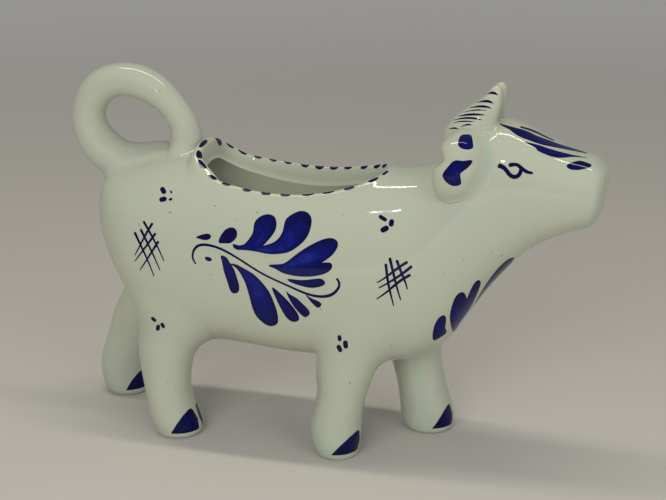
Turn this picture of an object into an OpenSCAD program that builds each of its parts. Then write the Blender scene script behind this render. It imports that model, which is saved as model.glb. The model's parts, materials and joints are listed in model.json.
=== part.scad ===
// Cow creamer: a hollow cow standing on four legs, filled through the back and poured through the mouth.
// It is put together from cast and hand-formed clay pieces that are luted face to face before firing.
// The frame has +X towards the muzzle, +Y to the cow's left and +Z up, with the soles at zero height.

/* [Overall] */
// Length from the tail loop to the muzzle
total_len = 176; // [150:1:210]
// Height of the belly above the table
belly_h = 27; // [22:0.5:33]
// Height of the barrel from the belly to the withers
barrel_h = 66; // [58:0.5:74]
// Width of the barrel at its widest
barrel_w = 49; // [45:0.5:56]

/* [Casting] */
// Thickness of the cast wall
wall_t = 3.8; // [3:0.1:4.6]
// Diameter of the mouth hole that the cream pours from
mouth_d = 9; // [7:0.5:11]

/* [Opening] */
// Length of the opening in the back
opening_l = 62; // [50:1:68]
// Width of the opening inside its lip
opening_w = 30; // [26:0.5:33]
// Diameter of the rolled lip round the opening
lip_d = 4.6; // [4:0.1:5.6]

/* [Legs] */
// Distance from the left feet to the right feet, centre to centre
track_w = 28.8; // [26:0.2:31]
// Diameter of a leg above the foot
leg_d = 17.4; // [15:0.2:19]
// Diameter of the flat sole under a foot
sole_d = 12.4; // [10:0.2:14]

/* [Tail loop] */
// Diameter of the tail at its thickest
tail_d = 12.6; // [10:0.2:14]

/* [Head] */
// Height of a horn above the top of the head
horn_h = 12; // [9:0.5:18]
// Length of a horn's root along the head
horn_d = 14; // [11:0.5:16]
// Length of an ear from top to tip
ear_l = 24; // [20:0.5:27]
// Width of an ear across its lobe
ear_w = 15; // [12:0.5:17]
// Thickness of an ear
ear_t = 9.6; // [8:0.2:12]

/* [Hidden] */

glaze = "honeydew";
// Points round a section of the skin, a limb and the lip, and rings from one station to the next
skin_sides = 40;
limb_sides = 24;
lip_sides = 10;
steps = 2;
// How square a section of the skin is, where 1 is an ellipse and less is squarer
squareness = 0.88;

half_w = barrel_w / 2;
mouth_r = mouth_d / 2;
lip_r = lip_d / 2;
leg_r = leg_d / 2;
sole_r = sole_d / 2;
tail_r = tail_d / 2;
function length_at(share) = share * total_len;
function height_at(share) = belly_h + share * barrel_h;

// Smooth curves through the rows of a table

function mix(a, b, t) = a + (b - a) * t;
// The parabola that meets a, b and c as t goes from -1 by 0 to 1
function parabola(a, b, c, t) = mix(mix(a, b, t + 1), mix(b, c, t), (t + 1) / 2);
// The smooth curve from b to c, which a and d steer
function curve(a, b, c, d, t) = mix(parabola(a, b, c, t), parabola(b, c, d, t - 1), t);
// The row at a place between stations. Before and after stand in for the rows past either end
function row_at(rows, before, after, u) =
    let(last = len(rows) - 1, i = min(floor(u), last - 1))
    curve(i > 0 ? rows[i - 1] : before, rows[i], rows[i + 1], i + 1 < last ? rows[i + 2] : after, u - i);
function signed_pow(v, p) = sign(v) * pow(abs(v), p);
function unit(v) = v / norm(v);

// A closed solid through rings of points. An end ring may be a single point, where the solid closes round
module loft(rings) {
    last = len(rings) - 1;
    sides = len(rings[1]);
    starts = [for (i = [0 : last]) i == 0 ? 0 : len(rings[0]) + (i - 1) * sides];
    first_cap = len(rings[0]) > 1 ? [[for (k = [sides - 1 : -1 : 0]) k]] : [];
    last_cap = len(rings[last]) > 1 ? [[for (k = [0 : sides - 1]) starts[last] + k]] : [];
    walls = [for (i = [0 : last - 1], k = [0 : sides - 1])
        let(next = (k + 1) % sides, a = starts[i] + k, b = starts[i] + next,
            c = starts[i + 1] + next, d = starts[i + 1] + k)
        each len(rings[i]) == 1 ? [[starts[i], c, d]]
            : len(rings[i + 1]) == 1 ? [[a, b, starts[i + 1]]] : [[a, c, d], [a, b, c]]];
    polyhedron(points = [for (ring = rings) each ring], faces = concat(first_cap, walls, last_cap));
}

// The skin of the barrel, neck and head

// Its stations from rump to muzzle. Each row holds shares: the place along the length, the top and the bottom of
// the barrel's height, the half width, and how far up the section it is widest
skin_shares = [
    [-0.428, 0.64, 0.64, 0, 0.5],
    [-0.421, 0.78, 0.465, 0.45, 0.5],
    [-0.396, 0.88, 0.285, 0.72, 0.5],
    [-0.346, 0.947, 0.155, 0.9, 0.48],
    [-0.27, 0.992, 0.065, 0.985, 0.46],
    [-0.17, 1.003, 0.026, 1, 0.45],
    [-0.068, 0.975, 0.008, 0.99, 0.45],
    [0.028, 0.958, 0, 0.97, 0.46],
    [0.114, 0.97, 0.005, 0.92, 0.48],
    [0.182, 0.988, 0.044, 0.84, 0.5],
    [0.233, 1.078, 0.15, 0.74, 0.53],
    [0.278, 1.184, 0.334, 0.66, 0.56],
    [0.324, 1.223, 0.53, 0.61, 0.56],
    [0.375, 1.177, 0.662, 0.57, 0.54],
    [0.426, 1.113, 0.735, 0.52, 0.52],
    [0.466, 1.087, 0.766, 0.49, 0.52],
    [0.4915, 1.05, 0.81, 0.4, 0.55],
    [0.4995, 0.972, 0.972, 0, 0.5]];
skin_last = len(skin_shares) - 1;
// The station of the luted joint between the barrel and the neck, and the stations under each added piece
neck_station = 10;
rear_stations = [0, 6];
front_stations = [6, 11];
crown_stations = [9, 14];
back_stations = [1, 6];

function placed(s) = [length_at(s[0]), height_at(s[1]), height_at(s[2]), s[3] * half_w, s[4]];
skin_rows = [for (s = skin_shares) placed(s)];
// The mirror image of a row, which stands past a closed end so that the end is round
function turned(row) = [row[0], row[2], row[1], -row[3], row[4]];
function skin_row(u) = row_at(skin_rows, turned(skin_rows[1]), turned(skin_rows[skin_last - 1]), u);

// One section as a ring of points from its top, down the left side and up the right. A closed end is one point
function section(row) = row[3] == 0 ? [[row[0], 0, row[1]]]
    : let(waist = mix(row[2], row[1], row[4]))
    [for (k = [0 : skin_sides - 1])
        let(a = 360 * k / skin_sides, up = signed_pow(cos(a), squareness), out = signed_pow(sin(a), squareness))
        [row[0], row[3] * out, waist + (up > 0 ? row[1] - waist : waist - row[2]) * up]];

module skin(span) {
    loft([for (i = [span[0] * steps : span[1] * steps]) section(skin_row(i / steps))]);
}

// The hollow

// A row drawn in by the wall. Near the rump the wall also moves it forward
rump_x = skin_rows[0][0];
saddle_x = skin_rows[6][0];
function drawn_in(row) =
    let(rearward = max(0, (saddle_x - row[0]) / (saddle_x - rump_x)), thick = row[3] == 0 ? 0 : wall_t)
    [row[0] + wall_t * rearward, row[1] - thick, row[2] + thick, row[3] - thick, row[4]];
hollow_rows = [for (i = [0 : neck_station + 1]) drawn_in(skin_rows[i])];
function hollow_row(u) = row_at(hollow_rows, turned(hollow_rows[1]), hollow_rows[neck_station + 1], u);
hollow_end = neck_station * steps + 1;

// The throat goes on from the barrel's hollow and narrows to the mouth hole, in the skin's columns and shares
throat_shares = [
    [0.278, 1.055, 0.48, 0.44, 0.5],
    [0.33, 1.085, 0.725, 0.32, 0.5],
    [0.39, 1.045, 0.822, 0.24, 0.5]];
throat_rows = concat([hollow_rows[neck_station - 1], hollow_rows[neck_station]],
    [for (s = throat_shares) placed(s)]);
throat_last = len(throat_rows) - 1;
function throat_row(u) = row_at(throat_rows, throat_rows[0], throat_rows[throat_last], u);
mouth_z = height_at(0.933);

// The opening in the back

opening_x = length_at(-0.227);
// How far the widest part lies towards the tail, and how blunt the ends are
opening_skew = 0.72;
opening_blunt = 0.4;
opening_points = 24;
// The lip's bead is let into the cut wall, and sunk under the skin
lip_bite = 0.4;
lip_sink = 0.78;
halvings = 12;

// Places along the opening from 0 to 1 and back, close together near the ends
function eased(k) = (1 - cos(180 * k / opening_points)) / 2;
function opening_half(s) = pow(abs(sin(180 * pow(s, opening_skew))), opening_blunt);
// The egg-shaped outline in plan, grown all round
function opening_outline(grow) = [for (k = [0 : 2 * opening_points - 1])
    let(s = eased(k), side = k < opening_points ? 1 : -1)
    [opening_x - grow + (opening_l + 2 * grow) * s, side * (opening_w / 2 + grow) * opening_half(s)]];

// The height of the skin over a spot in plan, found by halving the stations that hold it
function station_at(x, low, high, tries) =
    let(middle = (low + high) / 2)
    tries == 0 ? middle
        : skin_row(middle)[0] < x ? station_at(x, middle, high, tries - 1) : station_at(x, low, middle, tries - 1);
function skin_z(x, y) =
    let(row = skin_row(station_at(x, 0, neck_station, halvings)), waist = mix(row[2], row[1], row[4]),
        out = pow(min(1, abs(y) / row[3]), 1 / squareness))
    waist + (row[1] - waist) * pow(sqrt(1 - out * out), squareness);

module opening_cut() {
    translate([0, 0, height_at(0.5)]) linear_extrude(barrel_h) polygon(opening_outline(0));
}

// The rolled lip: a bead swept round the opening on the skin
module lip() {
    line = opening_outline(lip_r - lip_bite);
    turns = len(line);
    points = [for (i = [0 : turns - 1])
        let(spot = line[i], along = unit(line[(i + 1) % turns] - line[(i + turns - 1) % turns]),
            z = skin_z(spot[0], spot[1]) - lip_r * lip_sink)
        for (k = [0 : lip_sides - 1])
            let(a = 360 * k / lip_sides, out = lip_r * cos(a))
            [spot[0] - along[1] * out, spot[1] + along[0] * out, z + lip_r * sin(a)]];
    faces = [for (i = [0 : turns - 1], k = [0 : lip_sides - 1])
        let(n = (i + 1) % turns, m = (k + 1) % lip_sides,
            a = i * lip_sides + k, b = i * lip_sides + m, c = n * lip_sides + m, d = n * lip_sides + k)
        each [[a, c, b], [a, d, c]]];
    polyhedron(points = points, faces = faces);
}

module body() {
    color(glaze) {
        difference() {
            skin([0, neck_station]);
            loft([for (i = [0 : hollow_end]) section(hollow_row(i / steps))]);
            opening_cut();
        }
        lip();
    }
}

module head() {
    color(glaze) difference() {
        skin([neck_station, skin_last]);
        loft([for (i = [0 : throat_last * steps]) section(throat_row(i / steps))]);
        translate([throat_rows[throat_last - 1][0], 0, mouth_z]) rotate([0, 90, 0])
            cylinder(h = total_len, r = mouth_r, $fn = limb_sides);
    }
}

// Legs, ears and horns are stacks of level rings

// A row holds the place in x, y and z and the two half widths. A closed end has none, and is one point
function level_ring(row) = row[3] == 0 ? [[row[0], row[1], row[2]]]
    : [for (k = [0 : limb_sides - 1])
        let(a = -360 * k / limb_sides) [row[0] + row[3] * cos(a), row[1] + row[4] * sin(a), row[2]]];
function pinched(row) = [row[0], row[1], row[2], -row[3], -row[4]];
module stack(rows) {
    last = len(rows) - 1;
    before = rows[0][3] == 0 ? pinched(rows[1]) : rows[0];
    after = rows[last][3] == 0 ? pinched(rows[last - 1]) : rows[last];
    loft([for (i = [0 : last * steps]) level_ring(row_at(rows, before, after, i / steps))]);
}

// A leg's stations from the sole up: the height as a share of the belly's, then the half length, the half width
// and the shift towards the middle as shares of the leg's half thickness
leg_shares = [
    [0, 0, 0, 0],
    [0.027, 0.83, 0.83, 0],
    [0.09, 0.92, 0.92, 0],
    [0.23, 0.96, 0.96, 0],
    [0.47, 0.98, 0.98, 0],
    [0.78, 1.05, 1, 0],
    [1.1, 1.22, 1.02, 0.02],
    [1.4, 1.42, 1.04, 0.04],
    [1.67, 1.5, 0.98, 0.06],
    [1.9, 1.4, 0.8, 0.2]];
// Where each leg's stations stand along the length, as shares: the right pair draws in, the left pair strides out
right_hind_line = [-0.263, -0.263, -0.264, -0.269, -0.279, -0.286, -0.284, -0.286, -0.302, -0.32];
left_hind_line = [-0.447, -0.447, -0.449, -0.4525, -0.447, -0.429, -0.407, -0.387, -0.366, -0.35];
right_front_line = [0.05, 0.05, 0.05, 0.048, 0.05, 0.056, 0.064, 0.074, 0.08, 0.084];
left_front_line = [0.179, 0.179, 0.178, 0.175, 0.167, 0.154, 0.148, 0.145, 0.142, 0.138];

module leg(line, side, stations) {
    color(glaze) difference() {
        stack([for (i = [0 : len(line) - 1])
            let(s = leg_shares[i], sole = i == 0 ? sole_r : 0)
            [length_at(line[i]), side * (track_w / 2 - s[3] * leg_r), s[0] * belly_h,
                sole + s[1] * leg_r, sole + s[2] * leg_r]]);
        skin(stations);
    }
}

module right_front_leg() { leg(right_front_line, -1, front_stations); }
module left_front_leg() { leg(left_front_line, 1, front_stations); }
module right_hind_leg() { leg(right_hind_line, -1, rear_stations); }
module left_hind_leg() { leg(left_hind_line, 1, rear_stations); }

// An ear's stations from the tip up, as shares of its width, thickness and length: the place forward of the ear's
// line, the place outward, the height, the half width and the half thickness
ear_shares = [
    [-0.13, 0.18, 0, 0, 0],
    [-0.12, 0.18, 0.05, 0.21, 0.23],
    [-0.06, 0.19, 0.17, 0.37, 0.39],
    [0, 0.18, 0.36, 0.48, 0.47],
    [0.07, 0.1, 0.57, 0.48, 0.5],
    [0.09, -0.06, 0.76, 0.42, 0.48],
    [0.09, -0.32, 0.91, 0.28, 0.35],
    [0.08, -0.48, 1, 0, 0]];
ear_x = length_at(0.259);
ear_y = 0.64 * half_w;
ear_z = height_at(0.864);

module ear_lobe(side) {
    stack([for (s = ear_shares)
        [ear_x + s[0] * ear_w, side * (ear_y + s[1] * ear_t), ear_z + s[2] * ear_l, s[3] * ear_w, s[4] * ear_t]]);
}

module ear(side) {
    color(glaze) difference() {
        ear_lobe(side);
        skin(crown_stations);
    }
}

module right_ear() { ear(-1); }
module left_ear() { ear(1); }

// A horn's stations from inside the head up: the place forward and outward as shares of the root's length, the
// height as a share of the horn's, and the half length and half width as shares of the root's length
horn_shares = [
    [0, 0.4, -0.5, 0.52, 0.37],
    [0.03, 0.39, -0.05, 0.48, 0.34],
    [0.21, 0.34, 0.37, 0.34, 0.27],
    [0.35, 0.29, 0.7, 0.21, 0.185],
    [0.42, 0.265, 0.92, 0.11, 0.1],
    [0.43, 0.26, 1, 0, 0]];
horn_x = length_at(0.273);
horn_z = height_at(1.198);

module horn(side) {
    color(glaze) difference() {
        stack([for (s = horn_shares)
            [horn_x + s[0] * horn_d, side * s[1] * horn_d, horn_z + s[2] * horn_h, s[3] * horn_d, s[4] * horn_d]]);
        skin(crown_stations);
        ear_lobe(side);
    }
}

module right_horn() { horn(-1); }
module left_horn() { horn(1); }

// The tail's stations from behind the opening up, back and down on to the rump: the place along the length and the
// height as shares, and the thickness as a share of the tail's half thickness
tail_shares = [
    [-0.266, 0.85, 0.8],
    [-0.267, 0.985, 0.87],
    [-0.279, 1.1, 0.89],
    [-0.307, 1.212, 0.86],
    [-0.344, 1.287, 0.84],
    [-0.387, 1.315, 0.87],
    [-0.429, 1.272, 0.93],
    [-0.458, 1.17, 0.98],
    [-0.461, 1.049, 0.99],
    [-0.443, 0.954, 0.98],
    [-0.403, 0.918, 0.94],
    [-0.357, 0.918, 0.86],
    [-0.318, 0.89, 0.74]];
tail_rows = [for (s = tail_shares) [length_at(s[0]), height_at(s[1]), s[2] * tail_r]];
tail_steps = (len(tail_rows) - 1) * steps;
function tail_row(i) = row_at(tail_rows, tail_rows[0], tail_rows[len(tail_rows) - 1], i / steps);

module tail_loop() {
    color(glaze) difference() {
        loft([for (i = [0 : tail_steps])
            let(row = tail_row(i), way = unit(tail_row(min(i + 1, tail_steps)) - tail_row(max(i - 1, 0))))
            [for (k = [0 : limb_sides - 1])
                let(a = 360 * k / limb_sides, out = row[2] * cos(a))
                [row[0] - way[1] * out, row[2] * sin(a), row[1] + way[0] * out]]]);
        skin(back_stations);
        lip();
    }
}

body();
head();
tail_loop();
right_front_leg();
left_front_leg();
right_hind_leg();
left_hind_leg();
right_ear();
left_ear();
right_horn();
left_horn();
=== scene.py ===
# Cow creamer: a hollow glazed cow with a looped tail, an open back and cobalt brushwork.
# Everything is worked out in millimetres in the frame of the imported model, and made in metres.

import json
import bpy
import numpy as np
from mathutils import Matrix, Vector

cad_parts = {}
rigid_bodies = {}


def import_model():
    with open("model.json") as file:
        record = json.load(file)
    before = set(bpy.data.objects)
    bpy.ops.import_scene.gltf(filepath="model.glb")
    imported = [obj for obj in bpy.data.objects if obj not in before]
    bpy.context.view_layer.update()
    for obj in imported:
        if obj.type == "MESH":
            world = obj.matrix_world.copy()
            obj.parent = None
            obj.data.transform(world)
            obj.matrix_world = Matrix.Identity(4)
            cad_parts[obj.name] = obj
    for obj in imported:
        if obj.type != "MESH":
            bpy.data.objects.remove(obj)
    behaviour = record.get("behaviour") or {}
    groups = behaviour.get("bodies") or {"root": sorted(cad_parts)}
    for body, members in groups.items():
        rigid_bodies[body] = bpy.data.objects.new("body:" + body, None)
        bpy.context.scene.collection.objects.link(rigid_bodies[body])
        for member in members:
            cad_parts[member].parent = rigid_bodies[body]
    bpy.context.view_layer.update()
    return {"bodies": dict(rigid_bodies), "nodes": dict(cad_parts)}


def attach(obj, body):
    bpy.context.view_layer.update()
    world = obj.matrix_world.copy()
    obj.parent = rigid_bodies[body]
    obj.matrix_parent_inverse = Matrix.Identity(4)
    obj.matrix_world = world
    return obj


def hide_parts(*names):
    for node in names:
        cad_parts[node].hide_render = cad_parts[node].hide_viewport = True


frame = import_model()
clayBody = list(frame["bodies"])[0]
print("frame loaded:", sorted(frame["nodes"]), "on", clayBody)

mm = 0.001
turn = 2 * np.pi

# The photograph's camera, worked out from where the four feet stand and from the outline
photo = {
    "wide": 666, "high": 500,            # the frame in pixels
    "focal": 1300,                       # focal length in those pixels
    "azimuth": 17.5, "elevation": 16.0,  # where it looks from, in degrees
    "aim": (-4.05, 21.40, 56.20),        # the point it looks at
    "distance": 436.5,
}
azimuth, elevation = np.radians(photo["azimuth"]), np.radians(photo["elevation"])
backWay = np.array([np.sin(azimuth) * np.cos(elevation), -np.cos(azimuth) * np.cos(elevation), np.sin(elevation)])
rightWay = np.array([np.cos(azimuth), np.sin(azimuth), 0])
upWay = np.cross(backWay, rightWay)
eye = np.array(photo["aim"]) + photo["distance"] * backWay


# Where points show in the photograph: their sideways and upward offsets over their depth, times the focal length
def inPicture(points):
    away = points - eye
    depth = -away @ backWay
    across = photo["wide"] / 2 + photo["focal"] * (away @ rightWay) / depth
    down = photo["high"] / 2 - photo["focal"] * (away @ upWay) / depth
    return np.stack([across, down], axis=-1)


# Barrel, neck and head are one run of stations, given in shares of the sizes in the first row
body = {
    "length": 176, "belly": 27, "barrel": 66, "width": 49, "wall": 3.8,
    "fullness": 0.085,       # how much fuller than an oval a section is
    "neckStation": 10,       # where barrel and neck are luted together
    "columns": 176,          # points round a section
    # place along the length, top, bottom, half width, and how far up the section is widest
    "stations": [
        (-0.428, 0.68, 0.68, 0, 0.5), (-0.419, 0.835, 0.53, 0.42, 0.5), (-0.391, 0.904, 0.385, 0.7, 0.5),
        (-0.344, 0.945, 0.19, 0.895, 0.48), (-0.27, 0.992, 0.062, 0.985, 0.46), (-0.17, 1.003, 0.055, 1, 0.45),
        (-0.068, 0.975, 0.036, 0.99, 0.45), (0.028, 0.958, 0.034, 0.97, 0.46), (0.114, 0.97, 0.030, 0.92, 0.48),
        (0.182, 0.988, 0.058, 0.84, 0.5), (0.233, 1.078, 0.154, 0.74, 0.53), (0.278, 1.184, 0.334, 0.66, 0.56),
        (0.324, 1.223, 0.503, 0.61, 0.56), (0.375, 1.177, 0.638, 0.57, 0.54), (0.426, 1.113, 0.712, 0.52, 0.52),
        (0.466, 1.087, 0.746, 0.49, 0.52), (0.489, 1.05, 0.80, 0.4, 0.55), (0.4995, 0.972, 0.972, 0, 0.5)],
    # how fast the muzzle draws back below the mouth, from which length on, over how much, and from how far above the
    # mouth's middle
    "chin": (0.0052, 68, 16, 5),
    "rearStations": 6,           # inside those behind this one the hollow is pushed forward, by up to the wall
    "throat": [(0.278, 1.055, 0.48, 0.44, 0.5), (0.33, 1.085, 0.725, 0.32, 0.5), (0.39, 1.045, 0.822, 0.24, 0.5)],
}
opening = {
    "length": 58.2, "width": 31.4, "start": -0.2175,
    "skew": 0.65, "blunt": 0.26,
    "steps": 92,             # places along each side of the lip
    "crowd": 1.7,            # how much closer they stand by the tail
    "spacedBy": 4,           # along which row of the bead they are spaced
    # the lip's outline from the skin over the bead and down inside: how far outside the opening, how high over the skin
    "bead": [(5.0, 0), (4.3, 0.0), (3.6, 0.04), (3.0, 0.12), (2.4, 0.22), (1.8, 0.24), (1.2, 0.08), (0.6, -0.28),
             (0.1, -0.85), (-0.2, -1.45), (-0.42, -2.05), (-0.6, -2.6), (-0.75, -3.15), (-0.85, -3.6), (-0.9, -3.8)],
    "fine": 3,               # steps from one of those to the next
    "rise": 2.8, "riseOver": 0.14,   # how far the lip climbs the tail's root, and over what share of its length
    "lift": 2.4,                     # how far it stands up along the left side
    "heel": (1.7, 0.15),             # how much thicker its right side is by the tail, and over what share of its length
    # lines across the bead are counted from the skin: how much of the rise and lift they take, the first that takes the
    # heel and over how many it comes in, over how many the lip leaves the skin and its normals turn, and from which
    # share of them, over what share, it settles on the hollow
    "carried": ([0, 4, 9, 15, 27], [0, 0.1, 0.5, 1, 1]), "heelFrom": (19, 9),
    "leaveSkin": 6, "turnNormals": 5, "meetHollow": (0.72, 0.28),
    "thin": ([0, 12, 17, 21, 25], [0, 0.05, 0.35, 0.75, 0.3]),    # how thin the glaze is drawn on them, lightened there as painted highlight
    "hollowLightFrom": 36,                # from which line the hollow's painted light shows
    "shells": ((34, 46), (16, 26)),  # rings behind and before the opening, of the skin and of the hollow
}
mouth = {
    "diameter": 9, "height": 0.933, "front": 86.65,
    "lean": 0.14,            # how far its rim leans forward at the top, next to its radius
    "edge": 1.5,             # the radius of the rounding over its rim
    "pipe": [(74.5, 5.1), (79.5, 4.55), (84.5, 4.5)], "pipeWidth": 0.97,   # the hole behind it: place and radius
}


def lengthAt(share):
    return share * body["length"]


def heightAt(share):
    return body["belly"] + share * body["barrel"]


def unit(v):
    return v / np.maximum(np.linalg.norm(v, axis=-1, keepdims=True), 1e-12)


def dot(a, b):
    return np.sum(a * b, axis=-1, keepdims=True)


# The smooth curve through a table's rows. Each stretch is a cubic, and the bends are solved so that they run on evenly
# from stretch to stretch. Past a closed end stand the mirror images of the rows, with the signs given
def smoothThrough(rows, startSigns=None, endSigns=None):
    rows = np.array(rows, float)
    before = rows[3:0:-1] * startSigns if startSigns is not None else rows[:0]
    after = rows[-2:-5:-1] * endSigns if endSigns is not None else rows[:0]
    knots = np.concatenate([before, rows, after])
    count, shift = len(knots), len(before)
    system = np.eye(count)
    pull = np.zeros_like(knots)
    inner = np.arange(1, count - 1)
    system[inner, inner - 1], system[inner, inner], system[inner, inner + 1] = 1, 4, 1
    pull[inner] = 6 * (knots[inner - 1] - 2 * knots[inner] + knots[inner + 1])
    bend = np.linalg.solve(system, pull)

    def at(u):
        u = np.asarray(u, float) + shift
        i = np.clip(np.floor(u), 0, count - 2).astype(int)
        t = (u - i)[..., None]
        low, high, lowBend, highBend = knots[i], knots[i + 1], bend[i], bend[i + 1]
        return (lowBend * (1 - t)**3 / 6 + highBend * t**3 / 6 + (low - lowBend / 6) * (1 - t)
                + (high - highBend / 6) * t)
    return at


# A station as place, middle height, half height, half width, lift of the widest part and fullness
def stationRow(x, top, bottom, half, widest, draw=0, push=0):
    halfHeight = max((heightAt(top) - heightAt(bottom)) / 2 - draw, 0)
    halfWidth = max(half * body["width"] / 2 - draw, 0)
    return (lengthAt(x) + push, heightAt((top + bottom) / 2), halfHeight, halfWidth, halfHeight * (0.5 - widest),
            body["fullness"])


mirrorSigns = np.array([1, 1, -1, -1, -1, 1])     # of a station's mirror image past a closed end
skinRows = [stationRow(*s) for s in body["stations"]]
skinCurve = smoothThrough(skinRows, mirrorSigns, mirrorSigns)
skinLast = len(skinRows) - 1


# The hollow's station inside one of the skin's: drawn in by the wall, and at the rear pushed forward by it
def hollowRow(i):
    middle = skinRows[body["rearStations"]][0]
    rearward = max(0, (middle - skinRows[i][0]) / (middle - skinRows[0][0]))
    return stationRow(*body["stations"][i], draw=body["wall"] if i else 0, push=body["wall"] * rearward)


mouthHigh, mouthRadius = heightAt(mouth["height"]), mouth["diameter"] / 2
hollowRows = [hollowRow(i) for i in range(body["neckStation"] + 1)]
hollowRows += [stationRow(*s) for s in body["throat"]]
hollowRows += [(x, mouthHigh, r, r * mouth["pipeWidth"], 0, 0) for x, r in mouth["pipe"]]
hollowCurve = smoothThrough(hollowRows, mirrorSigns)
hollowLast = len(hollowRows) - 1


# A section of the skin: across, the half width times the sine, filled out by the cosine squared; in height, the half
# height times the cosine, filled out likewise, with a second wave that lifts or lowers the widest part. Under the mouth
# the point draws back by the square of its depth
def sectionPoint(row, a):
    x, middle, halfHigh, halfWide, lift, full = np.moveaxis(row, -1, 0)
    sine, cosine = np.sin(a), np.cos(a)
    across = halfWide * sine * (1 + full * cosine**2)
    high = middle - lift + halfHigh * cosine * (1 + full * sine**2) + lift * np.cos(2 * a)
    much, first, over, above = body["chin"]
    drawn = much * np.clip((x - first) / over, 0, 1)**2 * np.maximum(mouthHigh + above - high, 0)**2
    return np.stack([x - drawn, across, high], axis=-1)


# How points are looked for on a surface, by rounds of steps that have a longest length along it and round it
search = {
    "slope": 2e-3,           # the step over which slopes are measured
    "inset": 4e-3,           # how far from an end its normals are measured
    "end": 0.01,             # how near to an end a search may come
    "margin": 16,            # how far round the points samples are compared, mm
    "batch": 1500,           # how many points are compared with them at a time
    "footRounds": 6, "footSteps": (0.4, 0.3),
    "pixelRounds": 9, "pixelSteps": (0.1, 0.05), "pixelSlope": 1e-3, "pixelBatch": 200,
}


# A surface is a function of two parameters, u along it and v round it. It knows its normals, the point of it that is
# nearest to a given point, and the point of it that shows at a given pixel
class Surface:
    def __init__(self, place, uSpan, samples, outward=1):
        self.place, self.uSpan, self.outward = place, uSpan, outward
        u = np.linspace(uSpan[0], uSpan[1], samples[0])
        v = np.linspace(0, turn, samples[1], endpoint=False)
        self.cloudU, self.cloudV = (g.ravel() for g in np.meshgrid(u, v, indexing="ij"))
        self.cloud, self.cloudNormal = self.at(self.cloudU, self.cloudV)

    def slopes(self, u, v):
        step = search["slope"]
        return ((self.place(u + step, v) - self.place(u - step, v)) / (2 * step),
                (self.place(u, v + step) - self.place(u, v - step)) / (2 * step))

    def held(self, u, gap):
        return np.clip(u, self.uSpan[0] + gap, self.uSpan[1] - gap)

    def at(self, u, v):
        alongU, alongV = self.slopes(self.held(u, search["inset"]), v)
        return self.place(u, v), self.outward * unit(np.cross(alongU, alongV))

    # The nearest sample, then steps along the two slopes until the line to the point stands square on the surface
    def foot(self, points):
        shape = points.shape[:-1]
        p = points.reshape(-1, 3)
        margin = search["margin"]
        close = np.all((self.cloud > p.min(0) - margin) & (self.cloud < p.max(0) + margin), axis=1)
        close |= not close.any()
        cloud = self.cloud[close]
        square = np.sum(cloud**2, axis=1)
        nearest = np.concatenate([np.argmin(square - 2 * part @ cloud.T, axis=1)
                                  for part in np.array_split(p, max(1, len(p) // search["batch"]))])
        u, v = self.cloudU[close][nearest], self.cloudV[close][nearest]
        longU, longV = search["footSteps"]
        for _ in range(search["footRounds"]):
            alongU, alongV = self.slopes(u, v)
            gap = p - self.place(u, v)
            a, b, c = (np.sum(m * n, axis=1) for m, n in ((alongU, alongU), (alongU, alongV), (alongV, alongV)))
            d, e = np.sum(alongU * gap, axis=1), np.sum(alongV * gap, axis=1)
            whole = np.maximum(a * c - b * b, 1e-6)
            u = self.held(u + np.clip((c * d - b * e) / whole, -longU, longU), search["end"])
            v = v + np.clip((a * e - b * d) / whole, -longV, longV)
        foot, up = self.at(u, v)
        return foot.reshape(*shape, 3), up.reshape(*shape, 3), dot(p - foot, up).reshape(*shape, 1)

    # The nearest sample that faces the camera, then steps until its place in the picture is the pixel
    def under(self, pixels):
        shape = pixels.shape[:-1]
        want = pixels.reshape(-1, 2)
        facing = dot(self.cloudNormal, eye - self.cloud)[:, 0] > 0
        shown = inPicture(self.cloud[facing])
        nearest = np.concatenate([np.argmin(np.sum((shown - part[:, None])**2, axis=2), axis=1)
                                  for part in np.array_split(want, len(want) // search["pixelBatch"] + 1)])
        u, v = self.cloudU[facing][nearest], self.cloudV[facing][nearest]
        step = search["pixelSlope"]
        longU, longV = search["pixelSteps"]
        bestU, bestV, bestMiss = u.copy(), v.copy(), np.full(len(u), np.inf)
        for _ in range(search["pixelRounds"]):
            here = inPicture(self.place(u, v))
            off = np.linalg.norm(want - here, axis=1)
            closer = off < bestMiss
            bestU[closer], bestV[closer], bestMiss[closer] = u[closer], v[closer], off[closer]
            byU = (inPicture(self.place(u + step, v)) - here) / step
            byV = (inPicture(self.place(u, v + step)) - here) / step
            miss = want - here
            whole = byU[:, 0] * byV[:, 1] - byU[:, 1] * byV[:, 0]
            whole = np.where(np.abs(whole) < step, step, whole)
            u = u + np.clip((miss[:, 0] * byV[:, 1] - miss[:, 1] * byV[:, 0]) / whole, -longU, longU)
            v = v + np.clip((byU[:, 0] * miss[:, 1] - byU[:, 1] * miss[:, 0]) / whole, -longV, longV)
            u = self.held(u, search["end"])
        return bestU.reshape(shape), bestV.reshape(shape)


# Clay pressed on to another surface: within reach of it the surface slides outward along a quarter round and its
# normals turn into those below, and what would go deeper than the seat stays inside the wall
def pressedOn(points, normals, onto, reach, deepest=-1.2):
    foot, up, height = onto.foot(points)
    near = np.clip(1 - height / reach, 0, 1)
    slide = reach * (1 - np.sqrt(1 - near**2))
    moved = points + slide * (normals - dot(normals, up) * up)
    foot, up, _ = onto.foot(moved)
    seated = np.where(height < reach, foot + up * np.maximum(height, deepest), points)
    return seated, unit(normals * np.sqrt(1 - near**2) + up * near), near[..., 0]


# A surface pressed on to another with a fillet whose reach changes over it. It keeps how near each point is to the seat
class Pressed:
    def __init__(self, clay, onto, reach):
        self.clay, self.onto, self.reach, self.uSpan = clay, onto, reach, clay.uSpan

    def at(self, u, v):
        points, normals, self.near = pressedOn(*self.clay.at(u, v), self.onto, self.reach(u, v)[..., None])
        return points, normals

    def under(self, pixels):
        return self.clay.under(pixels)


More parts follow.
